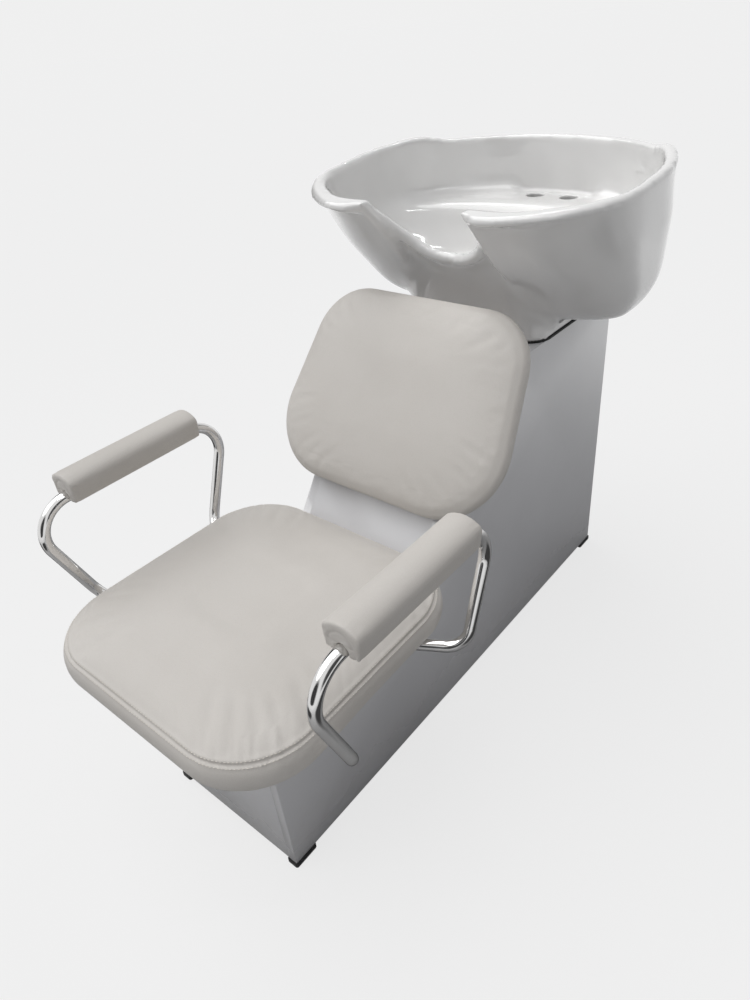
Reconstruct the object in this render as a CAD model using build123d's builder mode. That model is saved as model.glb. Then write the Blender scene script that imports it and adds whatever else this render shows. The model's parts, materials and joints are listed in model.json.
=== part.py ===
from build123d import *
from math import atan2, cos, radians, sin, tan
import os

# A backwash unit. +Y runs from the seat's front to the basin, +Z is up, and X = 0 is the plane of
# symmetry. The origin is on the floor, under the middle of the overall length. All in millimetres.

# Overall arrangement
seat_overhang = 110
basin_overhang = 59
cab_length = 1050
cab_width = 295
cab_height = 618
foot_height = 8
seat_drop = 270
slope_angle = 36.7
overall_length = seat_overhang + cab_length + basin_overhang
front_y = seat_overhang - overall_length / 2
rear_y = front_y + cab_length
base_z = foot_height
column_z = base_z + cab_height
seat_z = column_z - seat_drop
slope_run = tan(radians(slope_angle))

# Clearances, one for each kind of seat, and the overrun of every cut
hole_gap = 0.25
running_gap = 0.05
board_gap = 0.5
soft_gap = 0.5
door_gap = 2
overrun = 5

# Boards of the cabinet
board = 18
slope_board = 12
floor_board = 12
cleat = 18
brace_inset = 60
deck_reach = 45
rail_top = 62
rail_bottom = 110
slope_foot_inset = 385.25
inner_half = cab_width / 2 - board
slope_foot_y = front_y + slope_foot_inset
slope_top_y = slope_foot_y + seat_drop * slope_run

# Feet and their screws
foot_length = 48
foot_width = 23
foot_lip = 3
foot_round = 4
foot_screw_r = 2
foot_screw_length = 22
foot_screw_head_r = 4
foot_screw_head = 3

# Seat cushion, its board and fixings
seat_half_front = 250
seat_half_rear = 243
seat_depth = 487
seat_r_front = 118
seat_r_rear = 116
seat_crown = 66
ply = 12
ply_margin = 34
seat_bolt_x = 90
seat_bolt_front = 70
seat_bolt_rear = 300
seat_bolt_r = 4
seat_bolt_head_r = 8
seat_bolt_head = 5
tee_wall = 1.5
tee_flange_r = 9
tee_flange = 1.2
seat_front_y = front_y - seat_overhang
seat_rear_y = seat_front_y + seat_depth

# Back cushion, measured in the plane of the sloping board
back_half_low = 256
back_half_high = 210
back_height = 357
back_r_low = 122
back_r_high = 100
back_crown = 58
back_rise = 109
back_spacer = 4
back_bolt_x = 85
back_bolt_pitch = 110
back_bolt_low = 190
spacer_length = 215
spacer_width = 30

# Arms
arm_x = 293
tube_r = 9.5
tube_wall = 1.5
arm_rise = 197
arm_foot_front = 36
arm_foot_rear = 287
arm_lean = 78
arm_bend = 56
arm_foot_bend = 38
arm_leg_x = 162
arm_leg_front = 60
arm_leg_rear = 216
arm_bolt_reach = 22
arm_bolt_r = 3
arm_bolt_head_r = 5
arm_bolt_head = 4
plug_lip = 2
plug_depth = 12
pad_front = 38
pad_length = 252
pad_width = 60
pad_height = 46
pad_drop = 6
pad_shoulder = 34
pad_shoulder_r = 11
pad_base_inset = 4
pad_base_r = 5
arm_top_z = seat_z + arm_rise
pad_end_r = 4
pad_core_width = 34
pad_core_height = 10
pad_core_margin = 14
pad_screw_r = 2
pad_screw_head_r = 4
pad_screw_head = 2
pad_screw_inset = 45

# Basin: outline at the rim, heights over the cabinet or below the rim, walls
gasket = 4
ceramic = 16
basin_half = 312
basin_depth = 539
skirt_rise = 14
rim_side_rise = 285
rim_rise = 13
rim_front_drop = 24
rim_corner_inset = 147
rim_step_inset = 98
rim_step_r = 40
notch_r = 95
notch_drop = 31
neck_half = 95
neck_crease = 17
neck_flare = 88
tap_deck_drop = 106
tap_hole_r = 17.5
tap_spacing = 74
tap_inset = 53
bowl_floor_rise = 48
floor_front_reach = 47
floor_rear_reach = 53
pedestal_half = 150
pedestal_inset = 305
pedestal_lean = 48
pedestal_corner = 45
drain_inset = 188
skirt_z = column_z + skirt_rise
rim_side_z = column_z + rim_side_rise
notch_z = rim_side_z - notch_drop
lip_z = notch_z - notch_r
tap_deck_z = rim_side_z - tap_deck_drop
bowl_floor_z = column_z + bowl_floor_rise
basin_rear_y = rear_y + basin_overhang
basin_front_y = basin_rear_y - basin_depth
pedestal_y = rear_y - pedestal_inset
neck_y = pedestal_y - pedestal_lean
drain_y = rear_y - drain_inset
tap_y = basin_rear_y - tap_inset

# Tilt hinge under the basin
hinge_inset = 50
hinge_rise = 15
pin_r = 5
plate = 4
plate_half = 92
plate_inset = 275
plate_hole_r = 45
ear_x = 76
ear_r = 8.5
washer = 2
nut_r = 9
nut_width = 8
deck_hole_half = 62
deck_hole_front = 250
deck_hole_rear = 75
basin_bolt_x = 72
basin_bolt_y = 36
plate_bolt_x = 80
plate_bolt_y = 70
plate_bolt_r = 3
plate_bolt_head_r = 5.5
plate_bolt_head = 3.5
basin_bolt_grip = 10
hinge_y = rear_y - hinge_inset
hinge_z = column_z + hinge_rise
pedestal_rear_y = hinge_y - ear_r / 2
plate_front_y = rear_y - plate_inset

# Waste, hose and outlet
drain_hole_r = 26
flange_r = 36
flange = 3
waste_r = 24
waste_bore_r = 17
waste_seat_r = 21.5
waste_seat_depth = 10
waste_length = 56
waste_nut_r = 34
waste_nut_height = 8
seal = 3
strainer_r = 21
strainer_disc = 3
strainer_knob_r = 4
strainer_knob_height = 9
strainer_hole_r = 2.5
strainer_holes = 10
socket_wall = 4
socket_length = 22
tail_r = 18
tail_bore_r = 15.5
tail_length = 72
hose_wall = 2.5
hose_grip = 25
hose_bend = 90
outlet_r = 20
outlet_bore_r = 15.5
outlet_z = 72
outlet_reach = 42
outlet_inset = 75
outlet_flange_r = 29
outlet_flange = 4
outlet_nut = 8

# Access door, its hinges, knob and catch
door_hinge_inset = 70
leaf = 2
leaf_width = 15
leaf_height = 54
knuckle_r = 4
door_pin_r = 2
screw_r = 1.75
screw_head_r = 3.2
screw_head = 1.5
screw_length = 14
screw_pitch = 32
knob_r = 13
knob_head = 9
knob_neck_r = 6
knob_reach = 24
knob_inset = 30
catch_width = 14
catch_height = 46
catch_depth = 16
catch_plate = 1.5
catch_gap = 0.5
door_low_z = base_z + rail_bottom + door_gap
door_high_z = column_z - board - rail_top - door_gap
door_hinge_x = -(inner_half - door_gap / 2)

os.makedirs("parts", exist_ok=True)
pieces = {}


def slope_y(z):
    """Depth at which the sloping board's face stands at height z."""
    return slope_top_y - (column_z - z) * slope_run


def rounded_trapezoid(half_low, half_high, low, high, r_low, r_high, share=1):
    """Closed outline of lines and arcs, drawn in about its middle by share."""
    middle = (low + high) / 2
    lean = atan2(half_low - half_high, high - low)
    y_low = middle + (low - middle) * share
    y_high = middle + (high - middle) * share
    turn_low = radians(90) + lean
    turn_high = radians(90) - lean
    set_low = r_low * share * tan(turn_low / 2)
    set_high = r_high * share * tan(turn_high / 2)
    low_start = (half_low * share - set_low, y_low)
    low_end = (half_low * share - set_low * sin(lean), y_low + set_low * cos(lean))
    low_mid = (
        low_start[0] + r_low * share * sin(turn_low / 2),
        y_low + r_low * share * (1 - cos(turn_low / 2)),
    )
    high_start = (half_high * share + set_high * sin(lean), y_high - set_high * cos(lean))
    high_end = (half_high * share - set_high, y_high)
    high_mid = (
        high_end[0] + r_high * share * sin(turn_high / 2),
        y_high - r_high * share * (1 - cos(turn_high / 2)),
    )

    def mirrored(point):
        return (-point[0], point[1])

    with BuildSketch() as outline:
        with BuildLine():
            Line(mirrored(low_start), low_start)
            ThreePointArc(low_start, low_mid, low_end)
            Line(low_end, high_start)
            ThreePointArc(high_start, high_mid, high_end)
            Line(high_end, mirrored(high_end))
            ThreePointArc(mirrored(high_end), mirrored(high_mid), mirrored(high_start))
            Line(mirrored(high_start), mirrored(low_end))
            ThreePointArc(mirrored(low_end), mirrored(low_mid), mirrored(low_start))
        make_face()
    return outline.sketch


def bowl_outline(half, front, belly, rear):
    """Blunt front with two quarter-ellipse corners, straight flanks, half-elliptic rear."""
    corner_x = half * corner_width_share
    corner_y = (belly - front) * corner_depth_share
    with BuildSketch() as outline:
        with BuildLine():
            Line((-half + corner_x, front), (half - corner_x, front))
            EllipticalCenterArc((half - corner_x, front + corner_y), corner_x, corner_y, 270)
            Line((half, front + corner_y), (half, belly))
            EllipticalCenterArc((0, belly), half, rear - belly, 0)
            EllipticalCenterArc((0, belly), half, rear - belly, 90)
            Line((-half, belly), (-half, front + corner_y))
            EllipticalCenterArc((-half + corner_x, front + corner_y), corner_x, corner_y, 180)
        make_face()
    return outline.sketch


# Places that several pieces share
outlet_plane = Plane(origin=(0, rear_y, outlet_z), x_dir=(1, 0, 0), z_dir=(0, -1, 0))
hinge_spots_z = (door_low_z + door_hinge_inset, door_high_z - door_hinge_inset)
door_axis_y = rear_y + knuckle_r
knuckle_length = leaf_height / 3


def hinge_screw_spots(side):
    """Screw places of one leaf of each hinge, in the rear plane."""
    x = door_hinge_x + side * (knuckle_r + leaf_width / 2 + hole_gap)
    return [
        (x, z + way * screw_pitch / 2 - outlet_z) for z in hinge_spots_z for way in (-1, 1)
    ]


under_bowl_z = bowl_floor_z - ceramic
basin_bolt_spots = [
    (side * basin_bolt_x, drain_y + row * basin_bolt_y) for side in (-1, 1) for row in (-1, 1)
]

# Cabinet boards
def side_panel(side):
    with BuildPart() as panel:
        with BuildSketch(Plane.YZ.offset(side * cab_width / 2)):
            with BuildLine():
                Polyline(
                    (front_y, base_z),
                    (rear_y, base_z),
                    (rear_y, column_z),
                    (slope_top_y, column_z),
                    (slope_foot_y, seat_z),
                    (front_y, seat_z),
                    close=True,
                )
            make_face()
        extrude(amount=-side * board)
        with Locations(*foot_spots(side, base_z)):
            Cylinder(
                foot_screw_r,
                foot_screw_length,
                align=(Align.CENTER, Align.CENTER, Align.MIN),
                mode=Mode.SUBTRACT,
            )
        if side < 0:
            with BuildSketch(outlet_plane):
                with Locations(*hinge_screw_spots(side)):
                    Circle(screw_r)
            extrude(amount=screw_length - leaf, mode=Mode.SUBTRACT)
    return panel


def foot_spots(side, z):
    """Middles of the two feet of one side, at height z."""
    x = side * (cab_width / 2 + foot_lip - foot_width / 2)
    y_front = front_y - foot_lip + foot_length / 2
    y_rear = rear_y + foot_lip - foot_length / 2
    return [(x, y_front, z), (x, y_rear, z)]


pieces["side_panel_left"] = side_panel(-1)
pieces["side_panel_right"] = side_panel(1)

with BuildPart() as front_panel:
    with BuildSketch(Plane.XY.offset(base_z)):
        with Locations((0, front_y + board / 2)):
            Rectangle(2 * inner_half, board)
    extrude(amount=seat_z - board - base_z)
pieces["front_panel"] = front_panel

seat_bolt_spots = [
    (side * seat_bolt_x, front_y + inset)
    for side in (-1, 1)
    for inset in (seat_bolt_front, seat_bolt_rear)
]
with BuildPart() as seat_deck:
    with BuildSketch(Plane.XY.offset(seat_z)):
        with Locations((0, (front_y + slope_foot_y + deck_reach) / 2)):
            Rectangle(2 * inner_half, slope_foot_y + deck_reach - front_y)
        with Locations(*seat_bolt_spots):
            Circle(seat_bolt_r + hole_gap, mode=Mode.SUBTRACT)
    extrude(amount=-board)
pieces["seat_deck"] = seat_deck

# The slope's plane: its local Y climbs the board and its local Z points at the sitter
slope_plane = Plane(
    origin=(0, slope_top_y, column_z),
    x_dir=(1, 0, 0),
    z_dir=(0, -cos(radians(slope_angle)), sin(radians(slope_angle))),
)
back_bolt_spots = [
    (side * back_bolt_x, -back_bolt_low + row * back_bolt_pitch) for side in (-1, 1) for row in (0, 1)
]
slope_step = slope_board / cos(radians(slope_angle))
with BuildPart() as slope_panel:
    with BuildSketch(Plane.YZ.offset(-inner_half)):
        with BuildLine():
            Polyline(
                (slope_foot_y, seat_z),
                (slope_foot_y + slope_step, seat_z),
                (slope_y(column_z - board) + slope_step, column_z - board),
                (slope_y(column_z - board), column_z - board),
                close=True,
            )
        make_face()
    extrude(amount=2 * inner_half)
    with BuildSketch(slope_plane):
        with Locations(*back_bolt_spots):
            Circle(seat_bolt_r + hole_gap)
    extrude(amount=-slope_board - overrun, mode=Mode.SUBTRACT)
pieces["slope_panel"] = slope_panel

plate_bolt_spots = [
    (side * plate_bolt_x, hinge_y - plate_inset / 2 + row * plate_bolt_y)
    for side in (-1, 1)
    for row in (-1, 1)
]
with BuildPart() as top_deck:
    with BuildSketch(Plane.YZ.offset(-inner_half)):
        with BuildLine():
            Polyline(
                (slope_y(column_z - board), column_z - board),
                (slope_top_y, column_z),
                (rear_y, column_z),
                (rear_y, column_z - board),
                close=True,
            )
        make_face()
    extrude(amount=2 * inner_half)
    with BuildSketch(Plane.XY.offset(column_z)):
        with Locations((0, rear_y - (deck_hole_front + deck_hole_rear) / 2)):
            Rectangle(2 * deck_hole_half, deck_hole_front - deck_hole_rear)
        with Locations(*plate_bolt_spots):
            Circle(plate_bolt_r + hole_gap)
    extrude(amount=-board - overrun, mode=Mode.SUBTRACT)
pieces["top_deck"] = top_deck

with BuildPart() as base_panel:
    with BuildSketch(Plane.XY.offset(base_z + cleat)):
        with Locations((0, (front_y + rear_y) / 2)):
            Rectangle(2 * inner_half, cab_length - 2 * board)
    extrude(amount=floor_board)
pieces["base_panel"] = base_panel

with BuildPart() as inner_brace:
    with BuildSketch(Plane.XY.offset(base_z + cleat + floor_board)):
        with Locations((0, slope_top_y + brace_inset + board / 2)):
            Rectangle(2 * inner_half, board)
    extrude(amount=column_z - board - cleat - base_z - cleat - floor_board)
pieces["inner_brace"] = inner_brace

with BuildPart() as deck_cleats:
    for side in (-1, 1):
        runs = (
            (base_z, front_y + board, rear_y - board),
            (seat_z - board - cleat, front_y + board, slope_foot_y),
            (column_z - board - cleat, slope_top_y + brace_inset, rear_y - board),
        )
        for z, start, end in runs:
            with Locations((side * (inner_half - cleat / 2), (start + end) / 2, z + cleat / 2)):
                Box(cleat, end - start, cleat)
pieces["deck_cleats"] = deck_cleats

with BuildPart() as rear_rail_top:
    with BuildSketch(Plane.XY.offset(column_z - board)):
        with Locations((0, rear_y - board / 2)):
            Rectangle(2 * inner_half, board)
    extrude(amount=-rail_top)
pieces["rear_rail_top"] = rear_rail_top

with BuildPart() as rear_rail_bottom:
    with BuildSketch(Plane.XY.offset(base_z)):
        with Locations((0, rear_y - board / 2)):
            Rectangle(2 * inner_half, board)
    extrude(amount=rail_bottom)
    with BuildSketch(outlet_plane):
        Circle(outlet_r + hole_gap)
    extrude(amount=board + overrun, mode=Mode.SUBTRACT)
pieces["rear_rail_bottom"] = rear_rail_bottom

# Feet
with BuildPart() as corner_feet:
    for side in (-1, 1):
        with BuildSketch():
            with Locations(*[spot[:2] for spot in foot_spots(side, 0)]):
                RectangleRounded(foot_width, foot_length, foot_round)
    extrude(amount=foot_height)
    for side in (-1, 1):
        with Locations(*foot_spots(side, 0)):
            Cylinder(
                foot_screw_r + hole_gap,
                2 * foot_height + overrun,
                mode=Mode.SUBTRACT,
            )
            Cylinder(
                foot_screw_head_r + hole_gap,
                2 * (foot_screw_head + hole_gap),
                mode=Mode.SUBTRACT,
            )
pieces["corner_feet"] = corner_feet

with BuildPart() as foot_screws:
    for side in (-1, 1):
        with BuildSketch(Plane.XY.offset(hole_gap)):
            with Locations(*[spot[:2] for spot in foot_spots(side, 0)]):
                Circle(foot_screw_head_r)
        extrude(amount=foot_screw_head)
        with BuildSketch(Plane.XY.offset(foot_screw_head)):
            with Locations(*[spot[:2] for spot in foot_spots(side, 0)]):
                Circle(foot_screw_r)
        extrude(amount=foot_height - foot_screw_head + foot_screw_length)
pieces["foot_screws"] = foot_screws


# Seat
def seat_outline(share=1, margin=0):
    return rounded_trapezoid(
        seat_half_front - margin,
        seat_half_rear - margin,
        seat_front_y + margin,
        seat_rear_y - margin,
        seat_r_front - margin,
        seat_r_rear - margin,
        share,
    )


def arm_bolt_spot(side, foot, leg):
    """Plan position of the bolt through one inturned leg, near the leg's end."""
    reach_share = arm_bolt_reach / (arm_x - arm_leg_x)
    return (side * (arm_leg_x + arm_bolt_reach), front_y + leg + (foot - leg) * reach_share)


arm_bolt_spots = [
    arm_bolt_spot(side, foot, leg)
    for side in (-1, 1)
    for foot, leg in ((arm_foot_front, arm_leg_front), (arm_foot_rear, arm_leg_rear))
]

seat_side_shares = ((0, 0.986), (0.26, 1), (0.56, 0.962))
seat_crown_shares = ((0.56, 0.962), (0.72, 0.915), (0.87, 0.78), (0.965, 0.52), (1, 0.28))
with BuildPart() as seat_cushion:
    for shares in (seat_side_shares, seat_crown_shares):
        for height_share, plan_share in shares:
            with BuildSketch(Plane.XY.offset(seat_z + seat_crown * height_share)):
                add(seat_outline(share=plan_share))
        loft()
    with BuildSketch(Plane.XY.offset(seat_z)):
        add(seat_outline(margin=ply_margin - board_gap))
    extrude(amount=ply + board_gap, mode=Mode.SUBTRACT)
pieces["seat_cushion"] = seat_cushion


def tee_nuts(plane, spots, bolt_r):
    """One tee nut at each spot, its barrel in the board and its flange flush with the far face."""
    with BuildPart() as nuts:
        with BuildSketch(plane.offset(ply - tee_flange)):
            with Locations(*spots):
                Circle(tee_flange_r)
        extrude(amount=tee_flange)
        with BuildSketch(plane):
            with Locations(*spots):
                Circle(bolt_r + running_gap + tee_wall)
        extrude(amount=ply - tee_flange)
        with BuildSketch(plane):
            with Locations(*spots):
                Circle(bolt_r + running_gap)
        extrude(amount=ply, mode=Mode.SUBTRACT)
    return nuts


def cut_tee_nuts(plane, spots, bolt_r):
    """The same tee nuts' space, cut from the board that is being built."""
    with BuildSketch(plane.offset(ply - tee_flange)) as flanges:
        with Locations(*spots):
            Circle(tee_flange_r)
    extrude(flanges.sketch, amount=tee_flange, mode=Mode.SUBTRACT)
    with BuildSketch(plane) as barrels:
        with Locations(*spots):
            Circle(bolt_r + running_gap + tee_wall)
    extrude(barrels.sketch, amount=ply, mode=Mode.SUBTRACT)


seat_plane = Plane.XY.offset(seat_z)
with BuildPart() as seat_board:
    with BuildSketch(seat_plane):
        add(seat_outline(margin=ply_margin))
    extrude(amount=ply)
    cut_tee_nuts(seat_plane, seat_bolt_spots, seat_bolt_r)
    cut_tee_nuts(seat_plane, arm_bolt_spots, arm_bolt_r)
pieces["seat_board"] = seat_board
pieces["seat_tee_nuts"] = tee_nuts(seat_plane, seat_bolt_spots, seat_bolt_r)
pieces["arm_tee_nuts"] = tee_nuts(seat_plane, arm_bolt_spots, arm_bolt_r)


def bolts(plane, spots, r, head_r, head, grip):
    """Bolts whose heads bear on the plane from below and whose shanks run up to grip."""
    with BuildPart() as group:
        with BuildSketch(plane):
            with Locations(*spots):
                Circle(head_r)
        extrude(amount=-head)
        with BuildSketch(plane):
            with Locations(*spots):
                Circle(r)
        extrude(amount=grip)
    return group


pieces["seat_bolts"] = bolts(
    seat_plane.offset(-board), seat_bolt_spots, seat_bolt_r, seat_bolt_head_r, seat_bolt_head, board + ply
)

# Back
back_low = back_rise - back_height


def back_outline(share=1, margin=0):
    return rounded_trapezoid(
        back_half_low - margin,
        back_half_high - margin,
        back_low + margin,
        back_rise - margin,
        back_r_low - margin,
        back_r_high - margin,
        share,
    )


back_plane = slope_plane.offset(back_spacer)
back_side_shares = ((0, 0.955), (0.34, 1), (0.62, 0.958))
back_crown_shares = ((0.62, 0.958), (0.75, 0.893), (0.88, 0.74), (0.965, 0.5), (1, 0.3))
with BuildPart() as back_cushion:
    for shares in (back_side_shares, back_crown_shares):
        for height_share, plan_share in shares:
            with BuildSketch(back_plane.offset(back_crown * height_share)):
                add(back_outline(share=plan_share))
        loft()
    with BuildSketch(back_plane):
        add(back_outline(margin=ply_margin - board_gap))
    extrude(amount=ply + board_gap, mode=Mode.SUBTRACT)
pieces["back_cushion"] = back_cushion

with BuildPart() as back_board:
    with BuildSketch(back_plane):
        add(back_outline(margin=ply_margin))
    extrude(amount=ply)
    cut_tee_nuts(back_plane, back_bolt_spots, seat_bolt_r)
pieces["back_board"] = back_board
pieces["back_tee_nuts"] = tee_nuts(back_plane, back_bolt_spots, seat_bolt_r)

with BuildPart() as back_spacers:
    with BuildSketch(slope_plane):
        with Locations(*[(0, spot[1]) for spot in back_bolt_spots[:2]]):
            SlotOverall(spacer_length, spacer_width)
        with Locations(*back_bolt_spots):
            Circle(seat_bolt_r + hole_gap, mode=Mode.SUBTRACT)
    extrude(amount=back_spacer)
pieces["back_spacers"] = back_spacers
pieces["back_bolts"] = bolts(
    slope_plane.offset(-slope_board),
    back_bolt_spots,
    seat_bolt_r,
    seat_bolt_head_r,
    seat_bolt_head,
    slope_board + back_spacer + ply,
)

# Arms
arm_leg_z = seat_z - board_gap - tube_r
arm_start_y = front_y + pad_front
arm_end_y = arm_start_y + pad_length
pad_screw_ys = (arm_start_y + pad_screw_inset, arm_end_y - pad_screw_inset)
pad_base_z = arm_top_z - pad_drop


def arm_points(side):
    """Corners of the bent tube, from the front leg's end round to the rear leg's end."""
    return [
        (side * arm_leg_x, front_y + arm_leg_front, arm_leg_z),
        (side * arm_x, front_y + arm_foot_front, arm_leg_z),
        (side * arm_x, front_y + arm_foot_front - arm_lean, arm_top_z),
        (side * arm_x, front_y + arm_foot_rear + arm_lean, arm_top_z),
        (side * arm_x, front_y + arm_foot_rear, arm_leg_z),
        (side * arm_leg_x, front_y + arm_leg_rear, arm_leg_z),
    ]


def leg_end_planes(side):
    """Planes at the tube's two open ends, facing out of the tube."""
    corners = [Vector(*point) for point in arm_points(side)]
    return [
        Plane(origin=corners[0], z_dir=corners[0] - corners[1]),
        Plane(origin=corners[5], z_dir=corners[5] - corners[4]),
    ]


def arm_tube(side):
    with BuildPart() as tube:
        with BuildLine() as route:
            FilletPolyline(*arm_points(side), radius=[arm_foot_bend, arm_bend, arm_bend, arm_foot_bend])
        with BuildSketch(Plane(origin=route.line @ 0, z_dir=route.line % 0)):
            Circle(tube_r)
            Circle(tube_r - tube_wall, mode=Mode.SUBTRACT)
        sweep()
        with Locations(*[(side * arm_x, y, arm_top_z) for y in pad_screw_ys]):
            Cylinder(pad_screw_r + hole_gap, 2 * tube_r + overrun, mode=Mode.SUBTRACT)
        with Locations(*[(x, y, arm_leg_z) for x, y in arm_bolt_spots if x * side > 0]):
            Cylinder(arm_bolt_r + hole_gap, 2 * tube_r + overrun, mode=Mode.SUBTRACT)
    return tube


def arm_pad(side):
    pad_plane = Plane(
        origin=(side * arm_x, arm_end_y, pad_base_z), x_dir=(1, 0, 0), z_dir=(0, -1, 0)
    )
    half = pad_width / 2
    foot = half - pad_base_inset
    with BuildPart() as pad:
        with BuildSketch(pad_plane) as section:
            with BuildLine():
                Polyline((-half, pad_shoulder), (-foot, 0), (foot, 0), (half, pad_shoulder))
                ThreePointArc((half, pad_shoulder), (0, pad_height), (-half, pad_shoulder))
            make_face()
            fillet(section.vertices().group_by(Axis.Y)[-1], pad_shoulder_r)
            fillet(section.vertices().group_by(Axis.Y)[0], pad_base_r)
        extrude(amount=pad_length)
        ends = pad.faces().sort_by(Axis.Y)
        fillet(ends[0].edges() + ends[-1].edges(), pad_end_r)
        with Locations((side * arm_x, (arm_start_y + arm_end_y) / 2, arm_top_z)):
            Cylinder(
                tube_r + soft_gap, pad_length + overrun, rotation=(90, 0, 0), mode=Mode.SUBTRACT
            )
            Box(
                2 * (tube_r + soft_gap),
                pad_length + overrun,
                2 * (pad_drop + overrun),
                align=(Align.CENTER, Align.CENTER, Align.MAX),
                mode=Mode.SUBTRACT,
            )
        with Locations((side * arm_x, (arm_start_y + arm_end_y) / 2, arm_top_z)):
            Box(
                pad_core_width + 2 * board_gap,
                pad_length - 2 * (pad_core_margin - board_gap),
                tube_r + pad_core_height + board_gap,
                align=(Align.CENTER, Align.CENTER, Align.MIN),
                mode=Mode.SUBTRACT,
            )
    return pad


def arm_pad_core(side):
    with BuildPart() as core:
        with Locations((side * arm_x, (arm_start_y + arm_end_y) / 2, arm_top_z)):
            Box(
                pad_core_width,
                pad_length - 2 * pad_core_margin,
                tube_r + pad_core_height,
                align=(Align.CENTER, Align.CENTER, Align.MIN),
            )
            Cylinder(
                tube_r + running_gap, pad_length + overrun, rotation=(90, 0, 0), mode=Mode.SUBTRACT
            )
        with Locations(*[(side * arm_x, y, arm_top_z) for y in pad_screw_ys]):
            Cylinder(
                pad_screw_r + running_gap,
                tube_r + pad_core_height / 2,
                align=(Align.CENTER, Align.CENTER, Align.MIN),
                mode=Mode.SUBTRACT,
            )
    return core


for side, name in ((-1, "left"), (1, "right")):
    pieces[f"arm_tube_{name}"] = arm_tube(side)
    pieces[f"arm_pad_{name}"] = arm_pad(side)
    pieces[f"arm_pad_core_{name}"] = arm_pad_core(side)

pieces["arm_pad_screws"] = bolts(
    Plane.XY.offset(arm_top_z - tube_r),
    [(side * arm_x, y) for side in (-1, 1) for y in pad_screw_ys],
    pad_screw_r,
    pad_screw_head_r,
    pad_screw_head,
    2 * tube_r + pad_core_height / 2,
)
pieces["arm_bolts"] = bolts(
    Plane.XY.offset(arm_leg_z - tube_r),
    arm_bolt_spots,
    arm_bolt_r,
    arm_bolt_head_r,
    arm_bolt_head,
    2 * tube_r + board_gap + ply,
)

with BuildPart() as tube_plugs:
    for side in (-1, 1):
        for end_plane in leg_end_planes(side):
            with BuildSketch(end_plane):
                Circle(tube_r)
            extrude(amount=plug_lip)
            with BuildSketch(end_plane):
                Circle(tube_r - tube_wall - running_gap)
            extrude(amount=-plug_depth)
pieces["tube_plugs"] = tube_plugs

# Basin. Outer skin: height above the skirt as a share of the bowl's height, half width as a share
# of the rim's, and how far front and rear stand in, as shares of the basin's depth
bowl_top_z = rim_side_z + rim_rise + overrun
skin_height_shares = (0, 0.052, 0.138, 0.242, 0.415, 0.588, 0.761, 0.917, 1)
skin_half_shares = (0.712, 0.788, 0.859, 0.91, 0.949, 0.974, 0.987, 1, 1.003)
skin_front_shares = (0.538, 0.4545, 0.367, 0.319, 0.232, 0.148, 0.065, 0, -0.045)
skin_rear_shares = (0.132, 0.1, 0.076, 0.0445, 0.0204, 0.0056, 0, 0, 0)

corner_width_share = 0.56
corner_depth_share = 0.62
belly_share = 0.44

# Inside of the washing bowl up to the tap deck, and above the deck up to the rim
bowl_height_shares = (0, 0.12, 0.35, 0.66, 1)
bowl_half_shares = (0.353, 0.529, 0.69, 0.84, 0.897)
floor_front_share = (drain_y - floor_front_reach - basin_front_y) / basin_depth
bowl_front_shares = (floor_front_share, 0.408, 0.356, 0.293, 0.223)
floor_rear_share = (basin_rear_y - drain_y - floor_rear_reach) / basin_depth
bowl_rear_shares = (floor_rear_share, 0.323, 0.286, 0.254, 0.23)
well_height_shares = (0, 0.426, 0.775, 1)
well_half_shares = (0.907, 0.923, 0.936, 0.94)
well_front_shares = (0.223, 0.115, 0.04, 0)
well_rear_shares = (0.037, 0.037, 0.037, 0.035)


def basin_sections(low_z, high_z, share_rows, inset=0, front_limit_share=-1):
    """Outlines at heights between low_z and high_z, one for each row of shares."""
    sections = []
    for height_share, half_share, front_share, rear_share in share_rows:
        front = basin_front_y + basin_depth * front_share
        front_limit = basin_front_y + basin_depth * front_limit_share
        rear = basin_rear_y - basin_depth * rear_share
        with BuildSketch(Plane.XY.offset(low_z + (high_z - low_z) * height_share)) as section:
            add(
                bowl_outline(
                    basin_half * half_share - inset,
                    max(front, front_limit) + inset,
                    front + (rear - front) * belly_share,
                    rear - inset,
                )
            )
        sections.append(section.sketch)
    return sections


hollow_front_share = 0.4
skin_rows = list(zip(skin_height_shares, skin_half_shares, skin_front_shares, skin_rear_shares))
bowl_rows = list(zip(bowl_height_shares, bowl_half_shares, bowl_front_shares, bowl_rear_shares))
well_rows = list(zip(well_height_shares, well_half_shares, well_front_shares, well_rear_shares))


def pedestal_outline(z, inset=0, rear=0):
    """Three-sided outline, at height z, of the column that carries the bowl."""
    foot_z = column_z + gasket
    share = (z - foot_z) / (lip_z - foot_z)
    half = pedestal_half + (neck_half + neck_crease - pedestal_half) * share - inset
    front = pedestal_y - pedestal_lean * share + inset
    back = pedestal_rear_y + rear
    with BuildSketch() as outline:
        with BuildLine():
            FilletPolyline(
                (-half, back), (-half, front), (half, front), (half, back), radius=pedestal_corner - inset
            )
            Line((half, back), (-half, back))
        make_face()
    return outline.sketch


with BuildPart() as bowl_outset:
    loft(basin_sections(bowl_floor_z - ceramic, tap_deck_z - ceramic, bowl_rows, inset=-ceramic))

with BuildPart() as pedestal:
    for z in (column_z + gasket, lip_z):
        with BuildSketch(Plane.XY.offset(z)):
            add(pedestal_outline(z))
    loft()

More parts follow.
